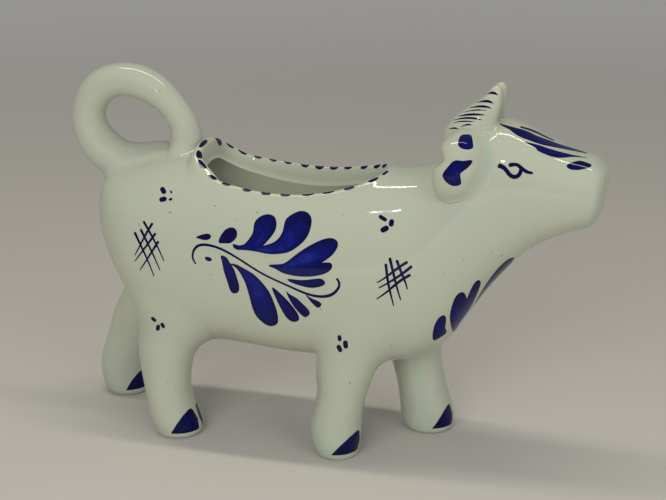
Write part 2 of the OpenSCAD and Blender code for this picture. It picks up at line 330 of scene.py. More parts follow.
# A grid of points with normals, read between its points
class Patch:
    def __init__(self, points, normals):
        self.points, self.normals = points, normals

    def at(self, u, v):
        rows, columns = self.points.shape[:2]
        i, j = np.floor(u).astype(int), np.clip(np.floor(v).astype(int), 0, columns - 2)
        s, t = (u - i)[..., None], (v - j)[..., None]
        i, n = i % rows, (i + 1) % rows

        def read(grid):
            return (grid[i, j] * (1 - s) * (1 - t) + grid[n, j] * s * (1 - t)
                    + grid[i, j + 1] * (1 - s) * t + grid[n, j + 1] * s * t)
        return read(self.points), unit(read(self.normals))


skin = Surface(lambda u, a: sectionPoint(skinCurve(u), a), (0, skinLast), samples=(140, 80))
hollow = Surface(lambda u, a: sectionPoint(hollowCurve(u), a), (0, hollowLast), samples=(60, 48), outward=-1)
print("skin worked out")


def link(name, data):
    thing = bpy.data.objects.new(name, data)
    bpy.context.scene.collection.objects.link(thing)
    return thing


# A mesh from points with their normals, and grids of point numbers whose neighbours make the faces. A number that
# repeats closes a pole or a seam. The faces are turned so that they look the way their normals do
def makePiece(name, points, normals, grids, material, node, marks, uv=None):
    points, normals = np.asarray(points, float), unit(np.asarray(normals, float))
    corners = []
    for grid in grids:
        quad = np.stack([grid[:-1, :-1], grid[1:, :-1], grid[1:, 1:], grid[:-1, 1:]], axis=-1).reshape(-1, 4)
        p = points[quad]
        faceWay = np.cross(p[:, 2] - p[:, 0], p[:, 3] - p[:, 1])
        agree = np.sum(faceWay * normals[quad].sum(axis=1))
        corners.append(quad if agree > 0 else quad[:, ::-1])
    quads = np.concatenate(corners)
    keep = quads != np.roll(quads, -1, axis=1)
    whole = keep.sum(axis=1) > 2
    quads, keep = quads[whole], keep[whole]
    totals = keep.sum(axis=1)
    starts = np.concatenate([[0], np.cumsum(totals)[:-1]])
    mesh = bpy.data.meshes.new(name)
    mesh.vertices.add(len(points))
    mesh.vertices.foreach_set("co", (points * mm).ravel())
    mesh.loops.add(int(totals.sum()))
    mesh.loops.foreach_set("vertex_index", quads[keep].astype(np.int32))
    mesh.polygons.add(len(quads))
    mesh.polygons.foreach_set("loop_start", starts.astype(np.int32))
    mesh.polygons.foreach_set("use_smooth", np.ones(len(quads), bool))
    mesh.update(calc_edges=True)
    for markName, values in marks.items():
        mark = mesh.attributes.new(markName, "FLOAT", "POINT")
        mark.data.foreach_set("value", np.asarray(values, np.float32).ravel())
    if uv is not None:
        layer = mesh.uv_layers.new(name="strokeMap")
        layer.data.foreach_set("uv", np.asarray(uv)[quads[keep]].astype(np.float32).ravel())
    mesh.normals_split_custom_set_from_vertices(normals.tolist())
    piece = link(name, mesh)
    mesh.materials.append(material)
    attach(piece, clayBody)
    if node:
        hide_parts(node)


# The normals of a grid of points whose columns run round: the cross product of its two differences, turned so that on
# the whole they look the way given
def gridNormals(points, toward):
    alongRows = np.gradient(points, axis=0)
    alongColumns = np.roll(points, -1, axis=1) - np.roll(points, 1, axis=1)
    normals = unit(np.cross(alongRows, alongColumns))
    return normals * np.sign(np.sum(dot(normals, toward)))


# Point numbers of a grid whose last column meets its first
def wrapped(ids):
    return np.concatenate([ids, ids[:, :1]], axis=1)


# A node's socket, whose sums with numbers and other sockets are written as Python expressions
class Wire:
    def __init__(self, board, socket):
        self.board, self.socket = board, socket

    def maths(self, operation, other, swapped=False):
        first, second = (other, self) if swapped else (self, other)
        return self.board.node("ShaderNodeMath", {"operation": operation}, {0: first, 1: second})

    def __add__(self, other): return self.maths("ADD", other)
    def __radd__(self, other): return self.maths("ADD", other, True)
    def __sub__(self, other): return self.maths("SUBTRACT", other)
    def __rsub__(self, other): return self.maths("SUBTRACT", other, True)
    def __mul__(self, other): return self.maths("MULTIPLY", other)
    def __rmul__(self, other): return self.maths("MULTIPLY", other, True)

    def between(self, low, high):              # 0 at low, 1 at high, smooth between
        return self.board.node("ShaderNodeMapRange", {"interpolation_type": "SMOOTHSTEP"},
                               {"Value": self, "From Min": low, "From Max": high})

    def upTo(self, low, high, much):           # the same, as far as so much
        return self.between(low, high) * much


# A material and the nodes in it
class Board:
    def __init__(self, name):
        self.material = bpy.data.materials.new(name)
        self.material.use_nodes = True
        self.tree = self.material.node_tree
        self.tree.nodes.clear()

    # One node: its settings first, a ramp's stops as places and colours, then the values or links of its sockets
    def node(self, kind, settings=None, inputs=None, output=0):
        made = self.tree.nodes.new(kind)
        for key, value in (settings or {}).items():
            if key == "stops":
                while len(made.color_ramp.elements) < len(value):
                    made.color_ramp.elements.new(0.5)
                for element, (spot, colour) in zip(made.color_ramp.elements, value):
                    element.position, element.color = spot, (*colour, 1)
            else:
                setattr(made, key, value)
        for key, value in (inputs or {}).items():
            if isinstance(value, Wire):
                self.tree.links.new(value.socket, made.inputs[key])
            else:
                isColour = isinstance(value, tuple) and made.inputs[key].type == "RGBA"
                made.inputs[key].default_value = (*value, 1) if isColour else value
        return Wire(self, made.outputs[output]) if len(made.outputs) else None

    def blend(self, mask, first, second):
        return self.node("ShaderNodeMix", {"data_type": "RGBA"}, {0: mask, 6: first, 7: second}, output=2)

    def noise(self, where, scale, detail, roughness=0.5):
        return self.node("ShaderNodeTexNoise", {}, {"Vector": where, "Scale": scale, "Detail": detail,
                                                    "Roughness": roughness})

    def finish(self, shader):
        self.node("ShaderNodeOutputMaterial", {}, {"Surface": shader})
        return self.material


glaze = {
    "pale": (0.432, 0.452, 0.350),      # even coat over white clay
    "pool": (0.310, 0.425, 0.362),      # thick in the creases, and darkened there as painted shade
    "thin": (0.555, 0.505, 0.345),      # drawn off the edges, and lightened there as painted highlight on the crests
    "inside": (0.62, 0.64, 0.50),       # painted light: a lighter colour that brightens the hollow
    "speck": (0.16, 0.13, 0.09),        # iron that came up through it
    "rough": 0.055, "roughSpread": 0.04, "index": 1.5,
    # how many waves of each noise go into a metre
    "broad": 28, "fine": 190, "specks": 620, "swells": 55, "ripples": 260,
    # between which values each look comes in, and how much of it: pools with painted shade, the broad clouds, thin
    # edges with painted highlight, and specks
    "pooledAndShaded": (0.12, 1.0, 0.85), "clouded": (0.02, 0.3, 0.30), "thinnedAndHighlit": (0.15, 1.0, 0.8),
    "specked": (0.755, 0.80, 0.5),
    "broken": 0.5,                      # how much the noise breaks up the pools and painted shade, and the thin edges and painted highlight
    "wave": 0.35, "waveShare": 0.30,    # how far the fired surface undulates, mm, and how much of it shows
    "swellHigh": 0.8, "rippleHigh": 0.05,
    # where it pools on the skin, with painted shade low on the flank by the legs, below the ear and at the mouth's
    # corner: place, how far round it and how much. The right side's are mirrored
    "poolsAndShade": [((84, -8, 80), 4.5, 0.7), ((25, -16, 42), 16, 0.30), ((47, -17, 82), 7, 0.45),
              ((-25, -20, 34), 12, 0.25)],
}
clay = {"colour": (0.50, 0.46, 0.38), "rough": 0.75}


# The slow swell of the fired surface, and whatever finer height is added to it
def undulation(board, where, finer=0):
    swell = board.noise(where, glaze["swells"], 1.5) * glaze["swellHigh"]
    return board.node("ShaderNodeBump", {}, {"Strength": glaze["waveShare"], "Distance": glaze["wave"] * mm,
                                             "Height": swell + finer if finer else swell})


# The coat takes its colour from the marks that each piece's points carry, broken up by noise: first the pools with
# painted shade, then the thin edges with painted highlight, specks, the hollow's painted light and bare clay
def glazeMaterial():
    board = Board("celadon_glaze")
    where = board.node("ShaderNodeTexCoord", output=3)
    pool, thin, bare, inside = (board.node("ShaderNodeAttribute", {"attribute_name": mark}, output=2)
                                for mark in ("pool", "thin", "bare", "inside"))
    broad = board.noise(where, glaze["broad"], 3)
    fine = board.noise(where, glaze["fine"], 3)
    speck = board.noise(where, glaze["specks"], 1)
    # the pools, darkened with the pool colour as painted crease shade
    pooledAndShaded = (pool + (broad - 0.5) * glaze["broken"]).upTo(*glaze["pooledAndShaded"]) + (broad - 0.5).upTo(*glaze["clouded"])
    colour = board.blend(pooledAndShaded, glaze["pale"], glaze["pool"])
    # the thin edges, lightened with the thin colour as painted highlight
    thinnedAndHighlit = (thin + (fine - 0.5) * glaze["broken"]).upTo(*glaze["thinnedAndHighlit"])
    colour = board.blend(thinnedAndHighlit, colour, glaze["thin"])
    colour = board.blend(speck.upTo(*glaze["specked"]), colour, glaze["speck"])
    # the hollow, painted lighter as painted light
    colour = board.blend(inside, colour, glaze["inside"])
    colour = board.blend(bare, colour, clay["colour"])
    rough = glaze["rough"] + (fine - 0.5) * glaze["roughSpread"] + bare * (clay["rough"] - glaze["rough"])
    shader = board.node("ShaderNodeBsdfPrincipled", {}, {
        "Base Color": colour, "Roughness": rough, "IOR": glaze["index"],
        "Normal": undulation(board, where, board.noise(where, glaze["ripples"], 2) * glaze["rippleHigh"])})
    return board.finish(shader)


cobalt = {
    "deep": (0.0008, 0.0012, 0.040),    # where the brush left most
    "full": (0.0020, 0.0045, 0.118),
    "wash": (0.020, 0.038, 0.300),      # where it ran thin
    "index": 1.3,
    "lanes": (90, 900, 1),              # how many streaks go into a metre along and across a stroke
    "clouds": 330,                      # how many waves of its cloudiness go into a metre
    "streaked": 0.55, "clouded": 0.5,   # how much each of them shifts its tone
    "stops": (0.05, 0.45, 0.95),        # the tones at which it is deep, full and washed out
}


# The blue takes its tone from the mark that the strokes' points carry, shifted by streaks along the stroke and clouds
def cobaltMaterial():
    board = Board("cobalt_brushwork")
    stroke = board.node("ShaderNodeUVMap", {"uv_map": "strokeMap"})
    where = board.node("ShaderNodeTexCoord", output=3)
    tone = board.node("ShaderNodeAttribute", {"attribute_name": "tone"}, output=2)
    lanes = board.node("ShaderNodeMapping", {}, {"Vector": stroke, "Scale": cobalt["lanes"]})
    streak = board.noise(lanes, 1, 3, 0.6)
    cloud = board.noise(where, cobalt["clouds"], 3)
    amount = tone + (streak - 0.5) * cobalt["streaked"] + (cloud - 0.5) * cobalt["clouded"]
    stops = list(zip(cobalt["stops"], (cobalt["deep"], cobalt["full"], cobalt["wash"])))
    colour = board.node("ShaderNodeValToRGB", {"stops": stops}, {0: amount})
    shader = board.node("ShaderNodeBsdfPrincipled", {}, {
        "Base Color": colour, "Roughness": glaze["rough"] + (cloud - 0.5) * glaze["roughSpread"],
        "IOR": cobalt["index"], "Normal": undulation(board, where)})
    return board.finish(shader)


glazed = glazeMaterial()
painted = cobaltMaterial()
print("materials made")


# A stack of level rings: each ring's place plus its half length times the cosine and half width times the sine
def stackPlace(rows, startSigns=None, endSigns=None):
    curve = smoothThrough(rows, startSigns, endSigns)

    def place(u, v):
        x, y, z, halfLong, halfWide = np.moveaxis(curve(u), -1, 0)
        return np.stack([x + halfLong * np.cos(v), y + halfWide * np.sin(v), z + 0 * v], axis=-1)
    return place


legs = {
    "track": 28.8, "thick": 17.4,
    # each ring's height over the belly's, its half width over the leg's radius, and how far it leans inwards
    "rings": [(0, 0.71, 0), (0.027, 0.83, 0), (0.09, 0.915, 0), (0.23, 0.955, 0), (0.47, 0.95, 0), (0.78, 0.93, 0),
              (1.1, 1.02, 0.02), (1.4, 1.04, 0.04), (1.67, 0.98, 0.06), (1.9, 0.8, 0.2), (2.15, 0.55, 0.35)],
    # each leg's side, the reach of its fillet in front, behind, outside and inside, where each ring stands along the
    # length, and each ring's half length over the radius
    "right_hind_leg": (-1, (7, 4, 8, 3),
                       [-0.2623, -0.262, -0.2626, -0.2699, -0.2791, -0.2836, -0.280, -0.2745, -0.2855, -0.306, -0.32],
                       [0.72, 0.83, 0.91, 0.931, 0.865, 0.938, 1.092, 1.172, 1.207, 1.204, 1.1]),
    "left_hind_leg": (1, (6, 4, 8, 3),
                      [-0.4468, -0.4466, -0.4487, -0.4522, -0.4493, -0.4306, -0.4072, -0.381, -0.358, -0.342, -0.325],
                      [0.71, 0.822, 0.91, 0.945, 1.014, 1.076, 1.226, 1.292, 1.319, 1.269, 1.1]),
    "right_front_leg": (-1, (5, 2.5, 8, 3),
                        [0.0502, 0.0497, 0.0488, 0.0471, 0.0485, 0.0583, 0.0655, 0.077, 0.0825, 0.085, 0.086],
                        [0.69, 0.77, 0.835, 0.928, 0.942, 0.92, 1.101, 1.145, 1.324, 1.336, 1.2]),
    "left_front_leg": (1, (5, 4, 8, 3),
                       [0.1796, 0.1801, 0.1789, 0.1762, 0.1692, 0.1577, 0.1483, 0.1446, 0.1414, 0.1375, 0.134],
                       [0.726, 0.868, 0.967, 1.010, 0.954, 0.942, 1.093, 1.342, 1.47, 1.412, 1.2]),
    "columns": 112, "rows": 120, "crowd": 1.5,      # points round and along, and how much closer they stand at the top
    "tried": 110,                       # places along it at which its depth in the skin is measured
    "hidden": 0.8, "capDeep": 1.3,      # how deep in the skin its outside ends, and how deep its closing sheet lies, mm
    "capRings": 6, "soleRings": [0.02, 0.5, 0.8, 0.93],
    "bareEdge": 0.8,                    # how bare the edge of the sole is
    "creasePoolAndShade": (0.28, 1.2),          # how much glaze pools and shade is painted in its fillet, and how far to the skin's side
    # the pool and shade colour over the foot: how much, at which height and how far round that, and from which height
    # on, mm
    "footPoolAndShade": (0.45, 3, 2.2, 0.4),
    "runs": {"left_front_leg": (-1.3, 0.3, 0.5)},   # where thick glaze ran down a leg: round it, how wide, how much
    "runsFrom": 2,                      # down to which height, mm
}


# A leg is a stack of rings; its fillet's reach round it is the square of the cosine or sine for each of four ways
def legSurface(name):
    side, fillet, line, long = legs[name]
    radius = legs["thick"] / 2
    rows = [(lengthAt(x), side * (legs["track"] / 2 - ring[2] * radius), ring[0] * body["belly"], half * radius,
             ring[1] * radius) for x, half, ring in zip(line, long, legs["rings"])]
    bare = Surface(stackPlace(rows), (0, len(rows) - 1), samples=(50, 40), outward=-1)

    def reach(u, v):
        ahead, outer = np.cos(v), side * np.sin(v)
        return (fillet[0] * np.maximum(ahead, 0)**2 + fillet[1] * np.minimum(ahead, 0)**2
                + fillet[2] * np.maximum(outer, 0)**2 + fillet[3] * np.minimum(outer, 0)**2)
    return bare, Pressed(bare, skin, reach), rows


ears = {
    "place": (0.259, 0.64, 0.884), "long": 22, "wide": 15, "thick": 9.6,
    "stations": [(-0.13, 0.18, 0, 0, 0), (-0.12, 0.18, 0.05, 0.21, 0.23), (-0.06, 0.19, 0.17, 0.37, 0.39),
                 (0, 0.18, 0.36, 0.48, 0.47), (0.07, 0.1, 0.57, 0.48, 0.5), (0.09, -0.06, 0.76, 0.42, 0.48),
                 (0.09, -0.32, 0.88, 0.28, 0.35), (0.08, -0.48, 0.955, 0, 0)],
    "dish": (3.7, 1.3, 1.2),            # where up the ear its face is hollowed, over how much of it, and how deep
    "nick": (4.05, 0.42, 2.9),          # the dent in its rear edge, likewise
    "tuck": (3.4, 0.5, 2),              # how far its front edge is pressed inwards, from which row, over how many
    "bevel": (3.6, 1.5),                # below which row its face slants back under, and how far
    "fillet": (1.6, 2.2, 0.8, 2),       # its fillet's reach, how much more in front, from which row, over how many
    "thin": (0.55, 3.2, 2.4),           # how thin the glaze is on its face, lightened there as painted highlight: about which row, over how many
    # how much glaze pools and shade is painted in its fillet
    "pool": 0.55, "rings": 90, "columns": 88,
}
horns = {
    "place": (0.273, 1.198), "high": 12, "root": 14,
    "stations": [(-0.11, 0.4, -0.5, 0.57, 0.37), (-0.075, 0.39, -0.05, 0.525, 0.34), (0.14, 0.34, 0.37, 0.39, 0.28),
                 (0.35, 0.29, 0.7, 0.21, 0.185), (0.42, 0.265, 0.92, 0.11, 0.1), (0.43, 0.26, 1, 0, 0)],
    "fillet": (2.6, 1.2),               # its fillet's reach, and how much less in front
    "thin": (0.7, 1.5, 3),              # how thin the glaze gets towards its tip, lightened as painted highlight: from which row, over how many
    # how much glaze pools and shade is painted in its fillet
    "pool": 0.8, "rings": 80, "columns": 72,
}
tail = {
    "thick": 12.6,
    "stations": [(-0.266, 0.86, 0.9), (-0.2655, 1.0, 0.88), (-0.2695, 1.107, 0.765), (-0.2945, 1.207, 0.73),
                 (-0.3335, 1.2845, 0.855), (-0.3807, 1.315, 0.87), (-0.4276, 1.282, 0.885), (-0.4572, 1.187, 0.87),
                 (-0.459, 1.0713, 0.915), (-0.4346, 0.9715, 1.035), (-0.397, 0.916, 1.03), (-0.3526, 0.92, 0.93),
                 (-0.3157, 0.937, 0.88), (-0.2857, 0.935, 0.84)],
    "fillet": (4.0, 3.4, 4),            # its fillet's reach, how much less inside the loop, and before which row
    "thin": (0.75, 4.5, 3.0),           # how thin the glaze is outside the loop, lightened as painted highlight on its top: about which row, over how many
    # how much glaze pools and shade is painted in its fillet
    "pool": 0.3, "rings": 320, "columns": 80,
}
pinch = np.array([1, 1, 1, -1, -1])     # signs of a ring's mirror image past an end that closes to a point


# The right ear: a stack of rings. Two bell curves along it hollow its outer face and nick its rear edge, its front
# edge is pressed in, and below a row its face slants back under by a hump, low times (1 - low) squared, brought to 1
def earPlace():
    x, y, z = lengthAt(ears["place"][0]), -ears["place"][1] * body["width"] / 2, heightAt(ears["place"][2])
    rows = [(x + s[0] * ears["wide"], y - s[1] * ears["thick"], z + s[2] * ears["long"], s[3] * ears["wide"],
             s[4] * ears["thick"]) for s in ears["stations"]]
    stack = stackPlace(rows, pinch, pinch)

    def place(u, v):
        outer, rear, front = np.maximum(-np.sin(v), 0), np.maximum(-np.cos(v), 0), np.maximum(np.cos(v), 0)
        dishAt, dishOver, dishDeep = ears["dish"]
        nickAt, nickOver, nickDeep = ears["nick"]
        tuckDeep, tuckFrom, tuckOver = ears["tuck"]
        bevelTo, bevelDeep = ears["bevel"]
        dish = dishDeep * np.exp(-((u - dishAt) / dishOver)**2) * outer**3
        nick = nickDeep * np.exp(-((u - nickAt) / nickOver)**2) * rear**4
        tuck = tuckDeep * front**1.5 * np.clip((u - tuckFrom) / tuckOver, 0, 1)
        low = np.clip(u / bevelTo, 0, 1)
        bevel = bevelDeep * (27 / 4) * low * (1 - low)**2 * outer**1.2
        return stack(u, v) + np.stack([nick, dish + tuck + bevel, 0 * u], axis=-1)
    return place


# The right horn: a stack of rings that closes to its tip
def hornPlace():
    x, z = lengthAt(horns["place"][0]), heightAt(horns["place"][1])
    rows = [(x + s[0] * horns["root"], -s[1] * horns["root"], z + s[2] * horns["high"], s[3] * horns["root"],
             s[4] * horns["root"]) for s in horns["stations"]]
    return stackPlace(rows, None, pinch)


# The tail: a round swept along its line, square to it, with a radius that changes along the way
def tailPlace():
    rows = [(lengthAt(s[0]), heightAt(s[1]), s[2] * tail["thick"] / 2) for s in tail["stations"]]
    curve = smoothThrough(rows)

    def place(u, v):
        x, z, radius = np.moveaxis(curve(u), -1, 0)
        way = unit((curve(u + 0.01) - curve(u - 0.01))[..., :2])
        out = radius * np.cos(v)
        return np.stack([x - way[..., 1] * out, radius * np.sin(v), z + way[..., 0] * out], axis=-1)
    return place


legSurfaces = {name: legSurface(name) for name in
               ("right_hind_leg", "left_hind_leg", "right_front_leg", "left_front_leg")}
earBare = Surface(earPlace(), (0, len(ears["stations"]) - 1), samples=(40, 40), outward=-1)
hornBare = Surface(hornPlace(), (0, len(horns["stations"]) - 1), samples=(30, 30), outward=-1)
tailBare = Surface(tailPlace(), (0, len(tail["stations"]) - 1), samples=(96, 32))


# How far the fillets reach. In front is where the cosine is 1, and so is the outside of the tail's loop
def earReach(u, v):
    reach, more, first, over = ears["fillet"]
    return reach + more * np.maximum(np.cos(v), 0)**2 * np.clip((u - first) / over, 0, 1)


def hornReach(u, v):
    reach, less = horns["fillet"]
    return reach - less * np.maximum(np.cos(v), 0)**2 + 0 * u


def tailReach(u, v):
    reach, less, last = tail["fillet"]
    return reach - less * np.maximum(-np.cos(v), 0) * (u < last)


ear = Pressed(earBare, skin, earReach)
horn = Pressed(hornBare, skin, hornReach)
tailLoop = Pressed(tailBare, skin, tailReach)
print("limbs worked out")


# The opening's outline in plan, grown all round: a sine raised to a power, with its widest part drawn to the tail
def outlineAt(s, grow):
    half = (opening["width"] / 2 + grow) * np.abs(np.sin(np.pi * np.clip(s, 0, 1)**opening["skew"]))**opening["blunt"]
    return lengthAt(opening["start"]) - grow + (opening["length"] + 2 * grow) * s, half


# Rows of the skin and the hollow, and how far along the length each of them lies
stationTable = np.linspace(0, body["neckStation"] + 0.5, 4001)
skinXs, hollowXs = skinCurve(stationTable)[:, 0], hollowCurve(stationTable)[:, 0]


# The angle round a section at which it is so far across, by steps on the section's own formula
def angleAcross(row, across):
    share = np.clip(across / row[..., 3], 0, 0.999)
    full = row[..., 5]
    sine = share.copy()
    for _ in range(12):
        sine = np.clip(sine - (sine * (1 + full) - full * sine**3 - share) / (1 + full - 3 * full * sine**2), 0, 1)
    return np.arcsin(sine)


# The row of a surface and the angle round it over a spot in plan
def overSpot(x, across, curve, xs):
    u = np.interp(x, xs, stationTable)
    return u, angleAcross(curve(u), across)


# Places along the outline, evenly spaced as they lie on the lip
def lipPlaces():
    fine = ((1 - np.cos(np.linspace(0, np.pi, 6001))) / 2)**opening["crowd"]
    x, half = outlineAt(fine, opening["bead"][opening["spacedBy"]][0])
    along = np.concatenate([[0], np.cumsum(np.hypot(np.diff(x), np.diff(half)))])
    return np.interp(np.linspace(0, along[-1], opening["steps"] + 1), along, fine)


# Smooth from 0 to 1: three squares less two cubes
def smoothly(share):
    return share**2 * (3 - 2 * share)


# How far the glaze pools on the skin, with painted shade, by bell curves round the spots where it does, how far it
# draws thin with painted highlight, and 1 in the hollow, which is painted lighter; its points come after the outer ones
def glazeMarks(points, outerCount):
    pool, inside = np.zeros((2, len(points)))
    for spot, wide, much in glaze["poolsAndShade"]:
        for side in (1, -1):
            away = points - np.array(spot) * [1, side, 1]
            pool = np.maximum(pool, much * np.exp(-np.sum(away**2, axis=1) / wide**2))
    pool[outerCount:], inside[outerCount:] = 0, 1
    return pool, 0 * pool, inside


# Rings that start at the lip's edge, go round under the belly and end at its other edge. Behind and before the opening
# they are closed. A ring's row changes from the lip's to an even one by the squared sine of the way round
def shellRings(surface, curve, xs, places, grow, rearRings, frontRings):
    steps, neck = opening["steps"], body["neckStation"]
    fraction = np.linspace(0, 1, body["columns"] + 1)
    uOpen, aOpen = overSpot(*outlineAt(places, grow), curve, xs)
    u = np.concatenate([uOpen[0] * np.linspace(0, 1, rearRings, endpoint=False), uOpen,
                        uOpen[-1] + (neck - uOpen[-1]) * np.linspace(0, 1, frontRings + 1)[1:]])
    a = np.concatenate([np.zeros(rearRings), aOpen, np.zeros(frontRings)])
    ends = [rearRings, rearRings + steps]
    a[ends] = 0
    even = np.interp(np.arange(len(u)), [0, *ends, len(u) - 1], [0, *u[ends], u[-1]])
    spread = np.sin(np.pi * fraction)**2
    uGrid = u[:, None] * (1 - spread) + even[:, None] * spread
    aGrid = a[:, None] + (turn - 2 * a[:, None]) * fraction
    return surface.at(uGrid, aGrid)


# Point numbers of such rings: a closed ring's last point is its first, and the pole at the rear is one point
def shellNumbers(rings, first, rearRings):
    columns = body["columns"] + 1
    ids = first + np.arange(rings * columns).reshape(rings, columns)
    ids[0] = ids[0, 0]
    closed = np.r_[1:rearRings + 1, rearRings + opening["steps"]:rings]
    ids[closed, -1] = ids[closed, 0]
    return ids


# The lip: the bead's outline carried round the opening. Each point stands where the grown outline puts it in plan and
# as high over the skin as the bead says, plus the rise at the tail and the lift of the left side, and by the tail the
# right side is thickened. Its first lines lead off the skin's edge and its last ones settle on the hollow's
def lipGrid(places, side, outerEdge, innerEdge):
    knots = np.array(opening["bead"])
    count = (len(knots) - 1) * opening["fine"] + 1
    bead = smoothThrough(knots)(np.linspace(0, len(knots) - 1, count))
    bead[0] = knots[0]
    line = np.arange(count)
    path = np.concatenate([places, places[-2:0:-1]])
    x, half = outlineAt(path[:, None], bead[None, :, 0])
    lip = skin.place(*overSpot(x, half, skinCurve, skinXs))
    lip[..., 0], lip[..., 1] = x, half
    lip[..., 2] += bead[None, :, 1]
    rise = opening["rise"] * np.clip(1 - path / opening["riseOver"], 0, 1)**1.5
    lift = opening["lift"] * np.sin(np.pi * np.clip(path, 0, 1))**0.4 * (side > 0)
    much, over = opening["heel"]
    heel = much * np.sin(np.pi * np.clip(path / over, 0, 1)) * (side < 0)
    first, over = opening["heelFrom"]
    lip[..., 0] += heel[:, None] * smoothly(np.clip((line - first) / over, 0, 1))[None, :]
    at, shares = opening["carried"]
    lip[..., 2] += (rise + lift)[:, None] * np.interp(line, [*at, count - 1], [*shares, 0])[None, :]
    lip[..., 1] *= side[:, None]
    first, over = opening["meetHollow"]
    late = smoothly(np.clip((line / (count - 1) - first) / over, 0, 1))[None, :, None]
    lip = lip + late * (innerEdge - lip[:, -1])[:, None]
    early = np.clip(1 - line / opening["leaveSkin"], 0, 1)[None, :, None]
    return lip + early * (outerEdge - lip[:, 0])[:, None]


# The barrel: the skin's shell, the hollow's, the lip between them and the end of the wall at the neck
def makeBody():
    places = lipPlaces()
    steps, columns = opening["steps"], body["columns"]
    (rear, front), (innerRear, innerFront) = opening["shells"]
    outerGrow, innerGrow = opening["bead"][0][0], opening["bead"][-1][0]
    outer, outerNormals = shellRings(skin, skinCurve, skinXs, places, outerGrow, rear, front)
    inner, innerNormals = shellRings(hollow, hollowCurve, hollowXs, places, innerGrow, innerRear, innerFront)
    outerIds = shellNumbers(len(outer), 0, rear)
    innerIds = shellNumbers(len(inner), len(outer) * (columns + 1), innerRear)

    # the shells' edges in the lip's order: along the left side, and back along the right one
    side = np.concatenate([np.ones(steps + 1), -np.ones(steps - 1)])
    ringAt = np.concatenate([np.arange(steps + 1), np.arange(steps - 1, 0, -1)])
    edgeAt = np.where(side > 0, 0, -1)
    outerEdge, innerEdge = (rear + ringAt, edgeAt), (innerRear + ringAt, edgeAt)
    lip = lipGrid(places, side, outer[outerEdge], inner[innerEdge])
    lines = lip.shape[1]
    padded = np.concatenate([lip[-3:], lip, lip[:3]])
    lipNormals = unit(np.cross(np.gradient(lip, axis=1), np.gradient(padded, axis=0)[3:-3]))
    lipNormals *= np.sign(lipNormals[:, lines // 3, 2:3].mean())
    # the lip's first normals turn out of the skin's
    skinward = np.clip(1 - np.arange(lines) / opening["turnNormals"], 0, 1)[None, :, None]
    lipNormals = unit(lipNormals * (1 - skinward) + outerNormals[outerEdge][:, None] * skinward)

    first = (len(outer) + len(inner)) * (columns + 1)
    lipIds = first + np.arange(len(lip) * (lines - 2)).reshape(len(lip), -1)
    lipIds = np.column_stack([outerIds[outerEdge], lipIds, innerIds[innerEdge]])
    lipIds = np.concatenate([lipIds, lipIds[:1]])
    neckWall = np.stack([outerIds[-1], innerIds[-1]])
    points = np.concatenate([g.reshape(-1, 3) for g in (outer, inner, lip[:, 1:-1])])
    normals = np.concatenate([g.reshape(-1, 3) for g in (outerNormals, innerNormals, lipNormals[:, 1:-1])])

    pool, thin, inside = glazeMarks(points, len(outer) * (columns + 1))
    # the lip's crest is lightened as painted highlight where the glaze draws thin
    at, shares = opening["thin"]
    lipThinAndHighlight = np.interp(np.arange(lines), [*at, lines - 1], [*shares, 0])
    # the lip's inner lines take the hollow's painted light
    lipHollowLight = np.interp(np.arange(lines), [0, opening["hollowLightFrom"], lines - 1], [0, 0, 1])
    pool[first:], thin[first:] = 0, np.tile(lipThinAndHighlight[1:-1], len(lip))
    inside[first:] = np.tile(lipHollowLight[1:-1], len(lip))
    makePiece("barrel", points, normals, [outerIds, innerIds, lipIds, neckWall], glazed, "body",
              {"pool": pool, "thin": thin, "bare": 0 * pool, "inside": inside})
    return Patch(lip, lipNormals)


lipPatch = makeBody()
print("barrel and lip made")


head = {
    "lastStation": 0.80,     # how far before the last station the muzzle's front starts
    "rings": 120, "noseRings": 14, "rollRings": 7, "pipeRings": 70,
    "bend": 1.1,             # how full the muzzle's front bends
    "thin": (8, 21, 0.6),    # the rings past the skin's on which the glaze is thin and lightened as painted highlight, and how thin
    "hollowLightFrom": 24,        # and the one from which the hollow's painted light shows
}


